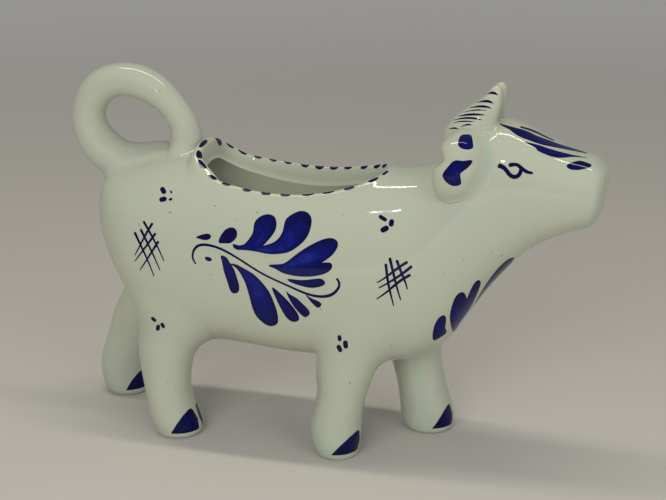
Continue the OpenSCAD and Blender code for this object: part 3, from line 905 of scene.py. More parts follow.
# The skin's rings on from the neck. From the last one each column of the muzzle's front runs to the mouth's rim along a
# cubic that leaves along the skin and arrives square to the rim's axis, rolls over the rim by a quarter round and runs
# back inside as the hollow
def makeHead():
    columns, neck, last = body["columns"], body["neckStation"], skinLast - head["lastStation"]
    a = turn * np.arange(columns) / columns
    u = neck + (last - neck) * np.linspace(0, 1, head["rings"])
    outer, outerNormals = skin.at(u[:, None], a[None, :] + 0 * u[:, None])

    edge = mouthRadius + mouth["edge"]
    inward = np.stack([0 * a, -np.sin(a), -np.cos(a)], axis=-1)
    front = mouth["front"] + mouth["lean"] * np.cos(a) * edge
    rim = np.stack([front, edge * np.sin(a), mouthHigh + edge * np.cos(a)], axis=-1)
    leave = unit(skin.slopes(np.full(columns, last), a)[0])
    gap = np.linalg.norm(rim - outer[-1], axis=-1)[:, None]
    t = np.linspace(0, 1, head["noseRings"] + 1)[1:, None, None]
    nose = ((2 * t**3 - 3 * t**2 + 1) * outer[-1] + (t**3 - 2 * t**2 + t) * leave * gap * head["bend"]
            + (3 * t**2 - 2 * t**3) * rim + (t**3 - t**2) * inward * gap * head["bend"])
    around = np.linspace(0, np.pi / 2, head["rollRings"] + 1)[1:, None, None]
    roll = mouth["edge"]
    rolled = rim + inward * roll * np.sin(around) + np.array([-1, 0, 0]) * roll * (1 - np.cos(around))
    back = np.linspace(hollowLast, neck, head["pipeRings"])
    inner = hollow.place(back[:, None], a[None, :] + 0 * back[:, None])

    rings = np.concatenate([outer, nose, rolled, inner])
    normals = gridNormals(rings, rings - rings.mean(axis=1, keepdims=True))
    normals[:len(outer) - 1] = outerNormals[:-1]
    ids = wrapped(np.arange(len(rings) * columns).reshape(-1, columns))
    points, normals = rings.reshape(-1, 3), normals.reshape(-1, 3)
    pool, thin, inside = glazeMarks(points, len(outer) * columns)
    # the muzzle's front and the mouth's rim are lightened as painted highlight where the glaze is thin
    thinAndHighlightFrom, thinAndHighlightTo, much = head["thin"]
    thin[(len(outer) + thinAndHighlightFrom) * columns:(len(outer) + thinAndHighlightTo) * columns] = much
    # the pipe behind the mouth takes the hollow's painted light
    inside[:(len(outer) + head["hollowLightFrom"]) * columns] = 0
    makePiece("head_and_neck", points, normals, [ids, ids[[-1, 0]]], glazed, "head",
              {"pool": pool, "thin": thin, "bare": 0 * pool, "inside": inside})


makeHead()
print("head made")


# Each column of a leg runs from the sole up to where it has gone just inside the barrel's wall, and the end is closed
# there by a sheet inside the wall. The sole is rings that shrink to its middle
def makeLeg(name):
    bare, seated, rows = legSurfaces[name]
    columns = legs["columns"]
    v = turn * np.arange(columns) / columns
    scan = np.linspace(0, len(rows) - 1, legs["tried"])
    height = skin.foot(bare.place(scan[:, None], v[None, :] + 0 * scan[:, None]))[2][..., 0]
    hidden = height < -legs["hidden"]
    hidden[-1] = True
    stop = np.argmax(hidden, axis=0)
    low, high = height[stop - 1, np.arange(columns)], height[stop, np.arange(columns)]
    share = np.clip((low + legs["hidden"]) / np.maximum(low - high, 1e-6), 0, 1)
    end = scan[stop - 1] + (scan[stop] - scan[stop - 1]) * share
    evened = np.array([1, 2, 3, 2, 1]) / 9
    end = np.convolve(np.concatenate([end[-2:], end, end[:2]]), evened, mode="valid")
    u = (1 - (1 - np.linspace(0, 1, legs["rows"]))**legs["crowd"])[:, None] * end
    points, normals = seated.at(u, v[None, :] + 0 * u)
    near = seated.near.copy()

    centre = points[-1].mean(axis=0)
    shrink = np.linspace(1, 0, legs["capRings"] + 1)[1:, None, None]
    foot, up, _ = skin.foot(centre + (points[-1] - centre) * shrink)
    cap = foot - legs["capDeep"] * up
    soleCentre = np.array([rows[0][0], rows[0][1], 0])
    sole = soleCentre + (points[0] - soleCentre) * np.array(legs["soleRings"])[:, None, None]
    allRings = np.concatenate([sole, points, cap])
    allNormals = np.concatenate([np.broadcast_to([0.0, 0.0, -1.0], sole.shape), normals, up])
    ids = wrapped(np.arange(len(allRings) * columns).reshape(-1, columns))
    ids[0], ids[-1] = ids[0, 0], ids[-1, 0]

    flatPoints = allRings.reshape(-1, 3)
    above = flatPoints[:, 2]
    # pooled glaze with painted shade in the fillet and over the foot, and where glaze ran down
    much, skew = legs["creasePoolAndShade"]
    pool = np.concatenate([0 * sole[..., 0], much * np.sin(np.pi * near**skew), 0 * cap[..., 0]]).ravel()
    much, middle, over, lowest = legs["footPoolAndShade"]
    pool = np.maximum(pool, much * np.exp(-((above - middle) / over)**2) * (above > lowest))
    if name in legs["runs"]:
        where, wide, much = legs["runs"][name]
        turned = np.angle(np.exp(1j * (np.broadcast_to(v, allRings.shape[:2]).ravel() - where)))
        pool = np.maximum(pool, much * np.exp(-(turned / wide)**2) * (above > legs["runsFrom"]))
    bareSole = np.concatenate([np.ones(sole.shape[:2]), 0 * near, 0 * cap[..., 0]])
    bareSole[len(sole)] = legs["bareEdge"]
    makePiece(name.replace("leg", "leg_glazed"), flatPoints, allNormals.reshape(-1, 3), [ids], glazed, name,
              {"pool": pool, "thin": 0 * pool, "bare": bareSole.ravel(), "inside": 0 * pool})


for legName in legSurfaces:
    makeLeg(legName)
print("legs made")


swept = {
    "crowd": 0.8,            # how much closer the rings of an ear or a horn stand at its ends
    "pointLike": 0.02,       # how small a ring is closed to a point, mm
    "creaseSkew": 1.3,       # how far to the skin's side of a fillet the glaze pools and shade is painted
}


# A closed piece whose rings run from one end of its surface to the other and close at a point past each. Their spacing
# is even, mixed with the cosine's. The glaze pools, with painted shade, by the sine of how near the fillet is to the
# skin
def makeSwept(name, surface, node, sizes, thinAndHighlightBy, crowd=swept["crowd"], mirrored=False):
    rings, columns = sizes["rings"], sizes["columns"]
    low, high = surface.uSpan
    even = np.linspace(0, 1, rings)
    u = low + (high - low) * (even + crowd * ((1 - np.cos(np.pi * even)) / 2 - even))
    v = turn * np.arange(columns) / columns
    uGrid, vGrid = np.meshgrid(u, v, indexing="ij")
    points, normals = surface.at(uGrid, vGrid)
    count = rings * columns
    ends = [0, -1]
    ids = wrapped(np.arange(count).reshape(rings, columns))
    flatPoints = np.concatenate([points.reshape(-1, 3), points[ends].mean(axis=1)])
    flatNormals = np.concatenate([normals.reshape(-1, 3), unit(normals[ends].mean(axis=1) + 1e-9)])
    # a ring that is a point before it is pressed on stays one
    for ring, beside, pole in ((0, 1, count), (-1, -2, count + 1)):
        if np.ptp(surface.clay.place(u[ring] + 0 * v, v), axis=0).max() < swept["pointLike"]:
            ids[ring] = pole
            flatPoints[pole] = points[beside].mean(axis=0)
    grid = np.concatenate([np.full((1, columns + 1), count), ids, np.full((1, columns + 1), count + 1)])
    if mirrored:
        flatPoints, flatNormals = flatPoints * mirror, flatNormals * mirror
    # pooled glaze with painted shade by the fillet
    pool = np.pad(sizes["pool"] * np.sin(np.pi * surface.near.ravel()**swept["creaseSkew"]), (0, 2))
    # thin glaze with painted highlight
    thin = np.pad(thinAndHighlightBy(uGrid, vGrid).ravel(), (0, 2))
    makePiece(name, flatPoints, flatNormals, [grid], glazed, node,
              {"pool": pool, "thin": thin, "bare": 0 * pool, "inside": 0 * pool})


# Where the glaze draws thin and a highlight is painted: about one row on the ear's face and the tail's outside, by a
# bell curve, and towards the horn's tip
def earThinAndHighlight(u, v):
    much, middle, over = ears["thin"]
    return much * np.exp(-((u - middle) / over)**2) * np.maximum(-np.cos(v), 0)**3


def hornThinAndHighlight(u, v):
    much, first, over = horns["thin"]
    return much * np.clip((u - first) / over, 0, 1)


def tailThinAndHighlight(u, v):
    much, middle, over = tail["thin"]
    return much * np.maximum(np.cos(v), 0)**3 * np.exp(-((u - middle) / over)**2)


mirror = np.array([1, -1, 1])
for side, mirrored in (("right", False), ("left", True)):
    makeSwept(side + "_ear_glazed", ear, side + "_ear", ears, earThinAndHighlight, mirrored=mirrored)
for side, mirrored in (("right", False), ("left", True)):
    makeSwept(side + "_horn_glazed", horn, side + "_horn", horns, hornThinAndHighlight, mirrored=mirrored)
makeSwept("tail_loop_glazed", tailLoop, "tail_loop", tail, tailThinAndHighlight, crowd=0)
print("ears, horns and tail made")


# The marks as a hand laid them on the side towards the camera, as outlines and lines in the photograph's pixels. An
# outline starts at the stroke's root and goes once round; "tip" is the number of its far end. "tone" runs from 0, where
# the cobalt lies thick, to 1, where it runs thin, and "on" names the surface that carries the mark
strokes = {
    "round_leaf": {"tone": 0.10, "tip": 6, "loop": [
        (218.9, 242.8), (219.4, 238.3), (222.2, 233.3), (226.1, 229.1), (231.1, 227.4), (235.6, 229.1), (237.2, 234.4),
        (235, 239.4), (230, 243.1), (223.9, 243.3)]},
    "dot_ellipse": {"tone": 0.05, "tip": 4, "loop": [
        (196.1, 237), (203.3, 234.2), (208.9, 233.9), (211.1, 236.4), (208.9, 239.4), (203.3, 240), (198.9, 238.7)]},
    "leaf_1": {"tone": 0.45, "tip": 8, "loop": [
        (232.6, 244.2), (237.2, 245), (243.9, 244.2), (249.4, 238.3), (253, 231.7), (254.1, 223.9), (257.8, 218.3),
        (262.8, 215.3), (268.3, 214.2), (273.9, 216.1), (276.3, 221.1), (276.1, 227.8), (273.3, 233.9), (269.4, 238.9),
        (263.9, 245), (258, 249), (250, 250.5), (241.7, 250), (235.6, 249.1)]},
    "leaf_2": {"tone": 0.55, "tip": 12, "loop": [
        (233, 246), (241.7, 248.5), (252, 248.5), (263.9, 245.5), (269.4, 243.9), (276.1, 240.6), (281.7, 233.3),
        (283.9, 226.1), (285.6, 220), (290, 215.6), (296.1, 212.2), (301.7, 210.9), (307.2, 212.4), (311.1, 217.2),
        (311.4, 224.4), (308.9, 233.3), (303.9, 241.1), (296.1, 247.8), (288.3, 252.2), (279.4, 253.9), (270.6, 254.2),
        (261.7, 252.8), (251.7, 250.9), (241.7, 250), (235.6, 249.1)]},
    "leaf_3_upper": {"tone": 0.60, "tip": 8, "loop": [
        (268.6, 265.6), (273.9, 264.4), (281.7, 263.9), (288.3, 260.6), (296.1, 254.4), (305, 248.3), (313.9, 243.3),
        (322.8, 239.4), (330.6, 238), (336.1, 240), (338, 244.4), (336.1, 250), (331.7, 255.6), (326.1, 260),
        (320, 263.6), (311, 266.6), (301, 268.6), (291, 268.4), (280, 267.4)]},
    "leaf_3_lower": {"tone": 0.40, "tip": 7, "loop": [
        (269, 266), (281, 266.6), (291.7, 267.4), (301.7, 268.2), (312.8, 265.8), (320.5, 263), (327.2, 262.4),
        (331.1, 263.3), (332.2, 266.7), (329.4, 271.1), (322.8, 274.4), (315, 276.1), (306.1, 276.7), (296.1, 276.1),
        (287.2, 274.4), (280.6, 272), (273.9, 268.3)]},
    "leaf_4": {"tone": 0.20, "tip": 6, "loop": [
        (287.2, 279.4), (291.7, 279.1), (301.7, 280), (312.8, 279.1), (320.6, 278.7), (324.8, 281.7), (323.9, 285),
        (318.3, 287.2), (310.6, 287.8), (302.8, 286.4), (296.1, 284.4), (290.6, 282.2)]},
    "small_dot": {"tone": 0.05, "tip": 3, "loop": [
        (205, 257.2), (208.9, 256.9), (211.7, 258.9), (210.8, 261.1), (207.2, 260.9), (205.2, 258.9)]},
    "leaf_5": {"tone": 0.30, "tip": 7, "loop": [
        (221.1, 255.6), (226.1, 257.2), (229.4, 261.7), (233.9, 268.9), (236.7, 276.7), (238.9, 284.4), (239.1, 290),
        (236.7, 293.1), (232.8, 293.1), (230, 290), (227.8, 283.3), (225.6, 276.7), (223.3, 268.9), (221.7, 261.1)]},
    "leaf_6": {"tone": 0.50, "tip": 9, "loop": [
        (230.6, 263.9), (236.1, 264.4), (245, 268.9), (253.9, 274.4), (262.8, 283.3), (269.4, 292.2), (273.9, 302.2),
        (277.2, 312.2), (278.1, 321.1), (275.6, 325), (270, 326.1), (263.9, 323.3), (257.2, 317.2), (252.8, 308.9),
        (250, 298.9), (247.2, 288.9), (243.9, 280), (239.4, 272.2), (235, 267.2)]},
    "leaf_7": {"tone": 0.30, "tip": 6, "loop": [
        (272.2, 287.2), (277.2, 290.6), (283.9, 296.7), (290.6, 303.9), (296.1, 311.1), (299.2, 317.8), (297.2, 321.3),
        (292.8, 321.7), (287.2, 318.3), (281.7, 310), (277.2, 301.1), (273.3, 292.2)]},
    "leaf_8": {"tone": 0.20, "tip": 5, "loop": [
        (286.1, 291.1), (289.4, 293.9), (296.1, 297.8), (302.8, 303.9), (308.3, 309.4), (309.7, 313.9), (306.7, 316.9),
        (302.8, 316.1), (296.1, 309.4), (291.7, 303.3), (288.3, 297.2)]},
    "leaf_9": {"tone": 0.10, "tip": 4, "loop": [
        (305.6, 294.4), (310.6, 297.8), (317.2, 300.6), (321.4, 303.9), (320, 306.9), (317.2, 307.6), (312.8, 303.9),
        (308.9, 299.4)]},
    "stem": {"tone": 0.10, "width": (1.4, 2.8, 2.4, 2.0, 2.0, 1.9, 2.0, 2.4, 3.2, 2.2), "line": [
        (195.6, 263.6), (192.8, 257.8), (193.3, 251.7), (196.7, 246.7), (202.8, 244.7), (210.6, 245.6), (219.4, 248.3),
        (229.4, 253.3), (240.6, 260), (251.7, 267.2), (262.8, 273.9), (273.9, 279.4), (285, 284.4), (296.1, 289.4),
        (307.2, 293.9), (318.3, 296.4), (328.3, 295.8), (335, 292.2), (338.9, 286.7), (338.9, 282.2), (337.2, 279.1)]},
    "chest_dot_1": {"tone": 0, "width": (4, 4), "line": [(380.6, 216.8), (385, 219.6)]},
    "chest_dot_2": {"tone": 0, "width": (5, 5), "line": [(391.7, 221.6), (391.2, 224.2)]},
    "chest_dot_3": {"tone": 0, "width": (5.6, 5.6), "line": [(383.2, 229.9), (386.2, 228.3)]},
    "rump_dot_1": {"tone": 0, "width": (5, 5), "line": [(162.6, 189.4), (163.8, 191.6)]},
    "rump_dot_2": {"tone": 0, "width": (5, 5), "line": [(161.7, 199.6), (164.3, 199)]},
    "rump_dot_3": {"tone": 0, "width": (1.8, 1.8), "line": [(171, 191.4), (171.4, 192.6)]},
    "rump_dot_4": {"tone": 0, "width": (2.4, 2.4), "line": [(169.9, 199.6), (171.3, 199)]},
    "thigh_dot_1": {"tone": 0, "on": "right_hind_leg", "width": (3.2, 3.2), "line": [(152.6, 318.4), (154.8, 320.4)]},
    "thigh_dot_2": {"tone": 0, "on": "right_hind_leg", "width": (3.4, 3.4), "line": [(162, 324.4), (163.4, 326.6)]},
    "thigh_dot_3": {"tone": 0, "on": "right_hind_leg", "width": (4, 4), "line": [(158.2, 326.6), (157.8, 328.8)]},
    "foreleg_dot_1": {"tone": 0, "on": "right_front_leg", "width": (4, 4), "line": [(339.2, 336.8), (339.8, 339.2)]},
    "foreleg_dot_2": {"tone": 0, "on": "right_front_leg", "width": (4.8, 4.8), "line": [
        (345.4, 342.8), (345.8, 346.2)]},
    "foreleg_dot_3": {"tone": 0, "on": "right_front_leg", "width": (4.4, 4.4), "line": [(338.8, 347), (340.2, 350)]},
    "rump_hatch_1": {"tone": 0.05, "width": (2.4, 1.9, 0.9), "line": [
        (135, 233), (141.5, 247), (148, 261), (154, 276)]},
    "rump_hatch_2": {"tone": 0.05, "width": (2.4, 1.9, 0.9), "line": [
        (141, 230), (147.5, 243), (154, 256.5), (160, 270)]},
    "rump_hatch_3": {"tone": 0.05, "width": (2.4, 1.9, 0.9), "line": [
        (144, 222), (151, 234.5), (157.8, 247.5), (164, 261)]},
    "rump_hatch_4": {"tone": 0.05, "width": (2.6, 2.0, 0.9), "line": [
        (152, 224), (146, 234), (140.5, 244.5), (135, 255)]},
    "rump_hatch_5": {"tone": 0.05, "width": (2.6, 2.0, 0.9), "line": [
        (155, 234), (148.5, 243), (141.8, 252), (135, 261)]},
    "rump_hatch_6": {"tone": 0.05, "width": (2.6, 2.0, 0.9), "line": [
        (158, 242), (152, 251.5), (146, 261), (140, 270)]},
    "chest_hatch_1": {"tone": 0.05, "width": (3, 2.6, 1.2), "line": [
        (385.9, 265), (388.1, 282.5), (390.6, 293.8), (393.5, 305.4)]},
    "chest_hatch_2": {"tone": 0.05, "width": (3, 2.6, 1.2), "line": [
        (390, 259), (393.8, 275), (396.9, 287.5), (400.6, 299.6)]},
    "chest_hatch_3": {"tone": 0.05, "width": (3, 2.6, 1.2), "line": [
        (397.1, 261.3), (401.3, 272.5), (405, 281.3), (407.3, 289)]},
    "chest_hatch_4": {"tone": 0.05, "width": (3, 2.6, 1.2), "line": [
        (406.5, 262.5), (396.9, 268.8), (386.3, 276.9), (377.5, 282.5)]},
    "chest_hatch_5": {"tone": 0.05, "width": (3, 2.6, 1.2), "line": [
        (411, 266.9), (401.3, 274.4), (388.8, 282.5), (379, 287.9)]},
    "chest_hatch_6": {"tone": 0.05, "width": (3, 2.6, 1.2), "line": [
        (409.4, 275.3), (398.8, 281.9), (387.5, 291.3), (377.1, 298.8)]},
    "chest_leaf_1": {"tone": 0.30, "tip": 6, "loop": [
        (445, 315.6), (440.6, 316.3), (436.3, 321.3), (433.5, 328.8), (432.5, 337.5), (434.4, 340.3), (440, 337.5),
        (446.3, 332.5), (445.3, 328.1), (446, 321.3)]},
    "chest_leaf_2": {"tone": 0.30, "tip": 5, "loop": [
        (453.5, 331.9), (450.6, 323.8), (450, 315), (452.5, 303.8), (456.9, 295), (462.5, 292.1), (466, 296),
        (466.5, 304), (464, 314), (459, 324)]},
    "chest_leaf_3": {"tone": 0.35, "tip": 5, "loop": [
        (455.5, 329), (460, 317), (465.5, 302), (470, 291.3), (474.4, 283.1), (479, 280), (480.7, 283.4),
        (478.4, 290.5), (473.8, 301.3), (467.8, 312), (461, 321.5)]},
    "eye_1": {"tone": 0.05, "width": (5.2, 4.2, 4.4, 4.2, 2.8), "line": [
        (499.7, 165.8), (505, 168.8), (510, 175), (515.8, 176.9), (520, 173.3), (520.8, 168.3), (518.5, 165.9)]},
    "eye_2": {"tone": 0.05, "width": (4.6, 3.6, 3.8, 3.6, 2.4), "line": [
        (510.7, 165), (516.7, 164.7), (521.7, 168.3), (526.7, 171.7), (532, 173)]},
    "nostril": {"tone": 0.15, "tip": 4, "loop": [
        (566.7, 165.3), (573.3, 162), (580, 160.8), (586.7, 162.5), (591.7, 165.3), (586.7, 168.3), (578.3, 170),
        (570, 169.2)]},
    "blaze_near": {"tone": 0.30, "tip": 6, "loop": [
        (524.2, 142), (536.7, 144.5), (548.3, 148.3), (560, 151.7), (570, 154.2), (580, 156.3), (587.5, 157.9),
        (575, 157), (563.3, 157.7), (553.3, 157), (543.3, 153.5), (537, 150), (533.5, 146.5)]},
    "ear_upper": {"tone": 0.30, "tip": 5, "on": "right_ear", "loop": [
        (458, 143.3), (460, 136.7), (464.2, 134.5), (470.8, 135), (472, 139.2), (471.4, 142), (473, 144.2),
        (472.5, 148.3), (465.8, 149.5), (460, 147.5)]},
    "ear_lower": {"tone": 0.30, "tip": 5, "on": "right_ear", "loop": [
        (442.5, 175), (446.7, 168.3), (454.2, 160.8), (462.5, 160.8), (470.8, 160), (471.7, 163.3), (465, 170),
        (460, 175), (461.3, 182.5), (457.5, 185.8), (450.8, 185.3), (445, 180.8)]},
}
# The long strokes down the brow lie astride the ridge, so they are given once and not mirrored: pixel outlines of the
# middle pair, and one thin line on the far side
browStrokes = {
    "blaze_middle": {"tone": 0.25, "tip": 9, "loop": [
        (498.6, 123.3), (508.3, 125.8), (516.7, 128), (526.7, 131), (536.7, 135.6), (546.7, 139.4), (558.3, 143.6),
        (570, 147.3), (580, 150.4), (588, 153.4), (575, 151.2), (563.3, 148.9), (553.3, 147), (543.3, 145),
        (535, 142.5), (526.7, 139.4), (520, 136.8), (514, 133.2), (509, 129.4), (503.3, 126.5)]},
    "blaze_far": {"tone": 0.05, "width": (1.6, 2.2, 1.8, 1), "line": [
        (520.8, 127), (528.3, 129.2), (536.7, 132.4), (545, 136.4), (554, 140.4)]},
}
brush = {
    "lift": 0.035, "sink": 0.25,     # how far a mark stands over the glaze and reaches into it, mm
    "spacing": 0.45,                 # about how far apart its points are over its wider extent, mm
    "bent": 1.4,                     # how much longer than that extent it is taken to be
    "acrossEach": 0.9,               # points across it for each pixel of its width
    "fewestAlong": 11, "mostAlong": 90, "fewestAcross": 5, "mostAcross": 26,
    "ends": 0.15,                    # its tone at its ends and edges, next to its middle
    # how far a mark's map is moved on, m: from one mark to the next, on the left side, and for the brow's
    "next": 0.021, "left": 0.3, "brow": 0.9,
}


# So many points along a line, evenly spaced by its length
def evenly(points, count):
    reach = np.concatenate([[0], np.cumsum(np.linalg.norm(np.diff(points, axis=0), axis=1))])
    spots = np.linspace(0, reach[-1], count)
    return np.stack([np.interp(spots, reach, points[:, 0]), np.interp(spots, reach, points[:, 1])], axis=-1)


# The two edges of a closed outline, from its root to its tip, both with so many points
def edgesOfLoop(loop, tip, count):
    loop = np.array(loop, float)
    wrap = 4
    curve = smoothThrough(np.concatenate([loop[-wrap:], loop, loop[:wrap + 1]]))
    return [evenly(curve(np.linspace(wrap + start, wrap + tip, 160)), count) for start in (0, len(loop))]


# The two edges of a line with rounded ends: the line, and across it half its width, which closes in a quarter round
def edgesOfLine(line, widths, count):
    fine = np.linspace(0, 1, 300)
    middle = evenly(smoothThrough(line)((len(line) - 1) * fine), len(fine))
    way = unit(np.gradient(middle, axis=0))
    spots = (1 - np.cos(np.linspace(0, np.pi, count))) / 2
    half = np.interp(spots, np.linspace(0, 1, len(widths)), widths) / 2
    long = np.linalg.norm(np.diff(middle, axis=0), axis=1).sum()
    full = long + half[0] + half[-1]
    spot = -half[0] + spots * full
    centre, ahead = (np.stack([np.interp(spot, fine * long, path[:, k]) for k in (0, 1)], axis=-1)
                     for path in (middle, way))
    centre += ahead * (np.minimum(spot, 0) + np.maximum(spot - long, 0))[:, None]
    close = np.minimum(spots * full / half, (1 - spots) * full / half)
    half = half * np.sqrt(1 - np.maximum(1 - close, 0)**2)
    side = np.stack([-ahead[:, 1], ahead[:, 0]], axis=-1)
    return centre + side * half[:, None], centre - side * half[:, None]


marks = {}                       # the marks of each piece, gathered until they are made into one mesh


# A mark's skin: rows from root to tip, across on the top and back underneath, so that it is closed. Its own map runs
# in metres along and across it, and its tone is deep at both ends and edges and thinner in the middle
def layMark(piece, top, normals, tone, offset):
    rows, columns = top.shape[:2]
    ids = np.arange(rows * 2 * columns).reshape(rows, 2 * columns)
    for end in (0, -1):
        ids[end, :columns], ids[end, columns:] = ids[end, 0], ids[end, columns]
    along = np.concatenate([[0], np.cumsum(np.linalg.norm(np.diff(top.mean(axis=1), axis=0), axis=1))])
    widest = np.linalg.norm(top[:, 0] - top[:, -1], axis=-1).max()
    s, t = np.linspace(0, 1, rows), np.linspace(0, 1, columns)
    uGrid, vGrid = np.meshgrid(along * mm + offset, t * widest * mm + offset, indexing="ij")
    middle = np.sin(np.pi * s**0.8)[:, None]**1.2 * (1 - np.abs(2 * t - 1)**3)[None, :]
    toneTop = tone * (brush["ends"] + (1 - brush["ends"]) * middle)

    def bothFaces(upper, lower):
        return np.concatenate([upper, lower[:, ::-1]], axis=1).reshape(rows * 2 * columns, -1)
    marks.setdefault(piece, []).append((
        bothFaces(top + brush["lift"] * normals, top - brush["sink"] * normals), bothFaces(normals, -normals),
        wrapped(ids), bothFaces(toneTop, toneTop).ravel(), np.hstack([bothFaces(g, g) for g in (uGrid, vGrid)])))


# The same mark on the left side
def layMirrored(piece, top, normals, tone, offset):
    layMark(piece.replace("right", "left"), top * mirror, normals * mirror, tone, offset)


# The marks of each piece become one mesh, their point numbers moved on by the points before them
def makeMarks():
    for piece, laid in marks.items():
        points, normals, grids, tones, uvs = zip(*laid)
        starts = np.cumsum([0] + [len(p) for p in points[:-1]])
        makePiece(piece, np.concatenate(points), np.concatenate(normals), [g + s for g, s in zip(grids, starts)],
                  painted, None, {"tone": np.concatenate(tones)}, np.concatenate(uvs))


carriers = {"right_front_leg": legSurfaces["right_front_leg"][1], "right_hind_leg": legSurfaces["right_hind_leg"][1],
            "right_ear": ear}


# A stroke's pixels, evenly between its two edges, are carried to the points of the surface that show there
def paintStroke(stroke, offset, both=True):
    isLoop, on = "loop" in stroke, stroke.get("on", "right_side")
    reach = np.ptp(np.array(stroke["loop" if isLoop else "line"], float), axis=0).max()
    rows = reach / photo["focal"] * photo["distance"] / brush["spacing"] * brush["bent"]
    rows = int(np.clip(rows, brush["fewestAlong"], brush["mostAlong"]))
    if isLoop:
        left, right = edgesOfLoop(stroke["loop"], stroke["tip"], rows)
    else:
        left, right = edgesOfLine(stroke["line"], stroke["width"], rows)
    across = np.linalg.norm(left - right, axis=1).max() * brush["acrossEach"]
    across = int(np.clip(across, brush["fewestAcross"], brush["mostAcross"]))
    t = np.linspace(0, 1, across)[None, :, None]
    pixels = left[:, None] * (1 - t) + right[:, None] * t
    carrier = carriers.get(on, skin)
    # where pressed clay has slid from where it was, the pixels are led by as much
    target = pixels
    for _ in range(3 if on in carriers else 1):
        u, v = carrier.under(target)
        points, normals = carrier.at(u, v)
        target = target + np.clip(pixels - inPicture(points), -2, 2)
    layMark(on + "_brushwork" if both else "brow_brushwork", points, normals, stroke["tone"], offset)
    if both and on.endswith("leg"):
        points, normals = legSurfaces[on.replace("right", "left")][1].at(u, -v)
        layMark(on.replace("right", "left") + "_brushwork", points, normals, stroke["tone"], offset + brush["left"])
    elif both:
        layMirrored(on + "_brushwork", points, normals, stroke["tone"], offset + brush["left"])


for number, stroke in enumerate(strokes.values()):
    paintStroke(stroke, brush["next"] * number)
for number, stroke in enumerate(browStrokes.values()):
    paintStroke(stroke, brush["brow"] + brush["next"] * number, both=False)
print("strokes painted")


# Marks that run on past the edge of the photograph are given in their surface's own rows and degrees round it, on the
# right side, and mirrored. A horn's stripes: the row at the rear, in the middle and in front, where the stripe starts
# and ends, and how much of a row it is thick
hornStripes = {
    "tone": 0.05, "along": 33, "across": 7,
    "each": [(3.35, 3.58, 3.33, -150, -56, 0.27), (2.6, 2.82, 2.65, -150, -63, 0.20),
             (2.2, 2.43, 2.31, -150, -59, 0.16), (1.92, 2.17, 2.17, -148, -70, 0.09),
             (1.66, 1.89, 1.89, -152, -67, 0.14), (1.42, 1.68, 1.59, -152, -67, 0.12),
             (1.32, 1.48, 1.49, -142, -84, 0.08), (1.16, 1.31, 1.31, -112, -86, 0.10),
             (0.96, 1.06, 1.04, -142, -112, 0.09)],
}
# The chest's middle leaf: rows and degrees of its two edges
chestLeaf = {
    "tone": 0.3, "along": 33, "across": 7,
    "outer": [(10.9, 184), (11.32, 184), (11.78, 184.5), (12.2, 187), (12.52, 201)],
    "inner": [(10.9, 186), (11.32, 199.5), (11.78, 207.8), (12.2, 211.3), (12.52, 208)],
}


# How far along a mark and how far across it each of its points is, from 0 to 1
def markGrid(along, across):
    return np.linspace(0, 1, along)[:, None], np.linspace(0, 1, across)[None, :]


# A stripe's row is the parabola through its three rows, and it is thick by the sine of the way along
def paintHorns():
    s, t = markGrid(hornStripes["along"], hornStripes["across"])
    for rear, middle, front, start, end, thick in hornStripes["each"]:
        row = rear * (1 - s) * (1 - 2 * s) + 4 * middle * s * (1 - s) + front * s * (2 * s - 1)
        u = row + (t - 0.5) * thick * np.sin(np.pi * s)**0.7
        points, normals = horn.at(u, np.radians(start + (end - start) * s) + 0 * t)
        for lay in (layMark, layMirrored):
            lay("right_horn_brushwork", points, normals, hornStripes["tone"], start * 0.01)


# The leaf lies between two curves through its edges, and closes at both ends by the root of the sine
def paintChestLeaf():
    s, t = markGrid(chestLeaf["along"], chestLeaf["across"])
    outer, inner = (smoothThrough(chestLeaf[edge])((len(chestLeaf[edge]) - 1) * s[:, 0])[:, None]
                    for edge in ("outer", "inner"))
    opened = np.minimum(1, 4 * np.sin(np.pi * s))[..., None]**0.5
    own = (outer + inner) / 2 + (t[..., None] - 0.5) * (inner - outer) * opened
    points, normals = skin.at(own[..., 0], np.radians(own[..., 1]))
    layMark("right_side_brushwork", points, normals, chestLeaf["tone"], 0.7)
    layMirrored("right_side_brushwork", points, normals, chestLeaf["tone"], 0.8)


paintHorns()
paintChestLeaf()
print("horns and chest painted")

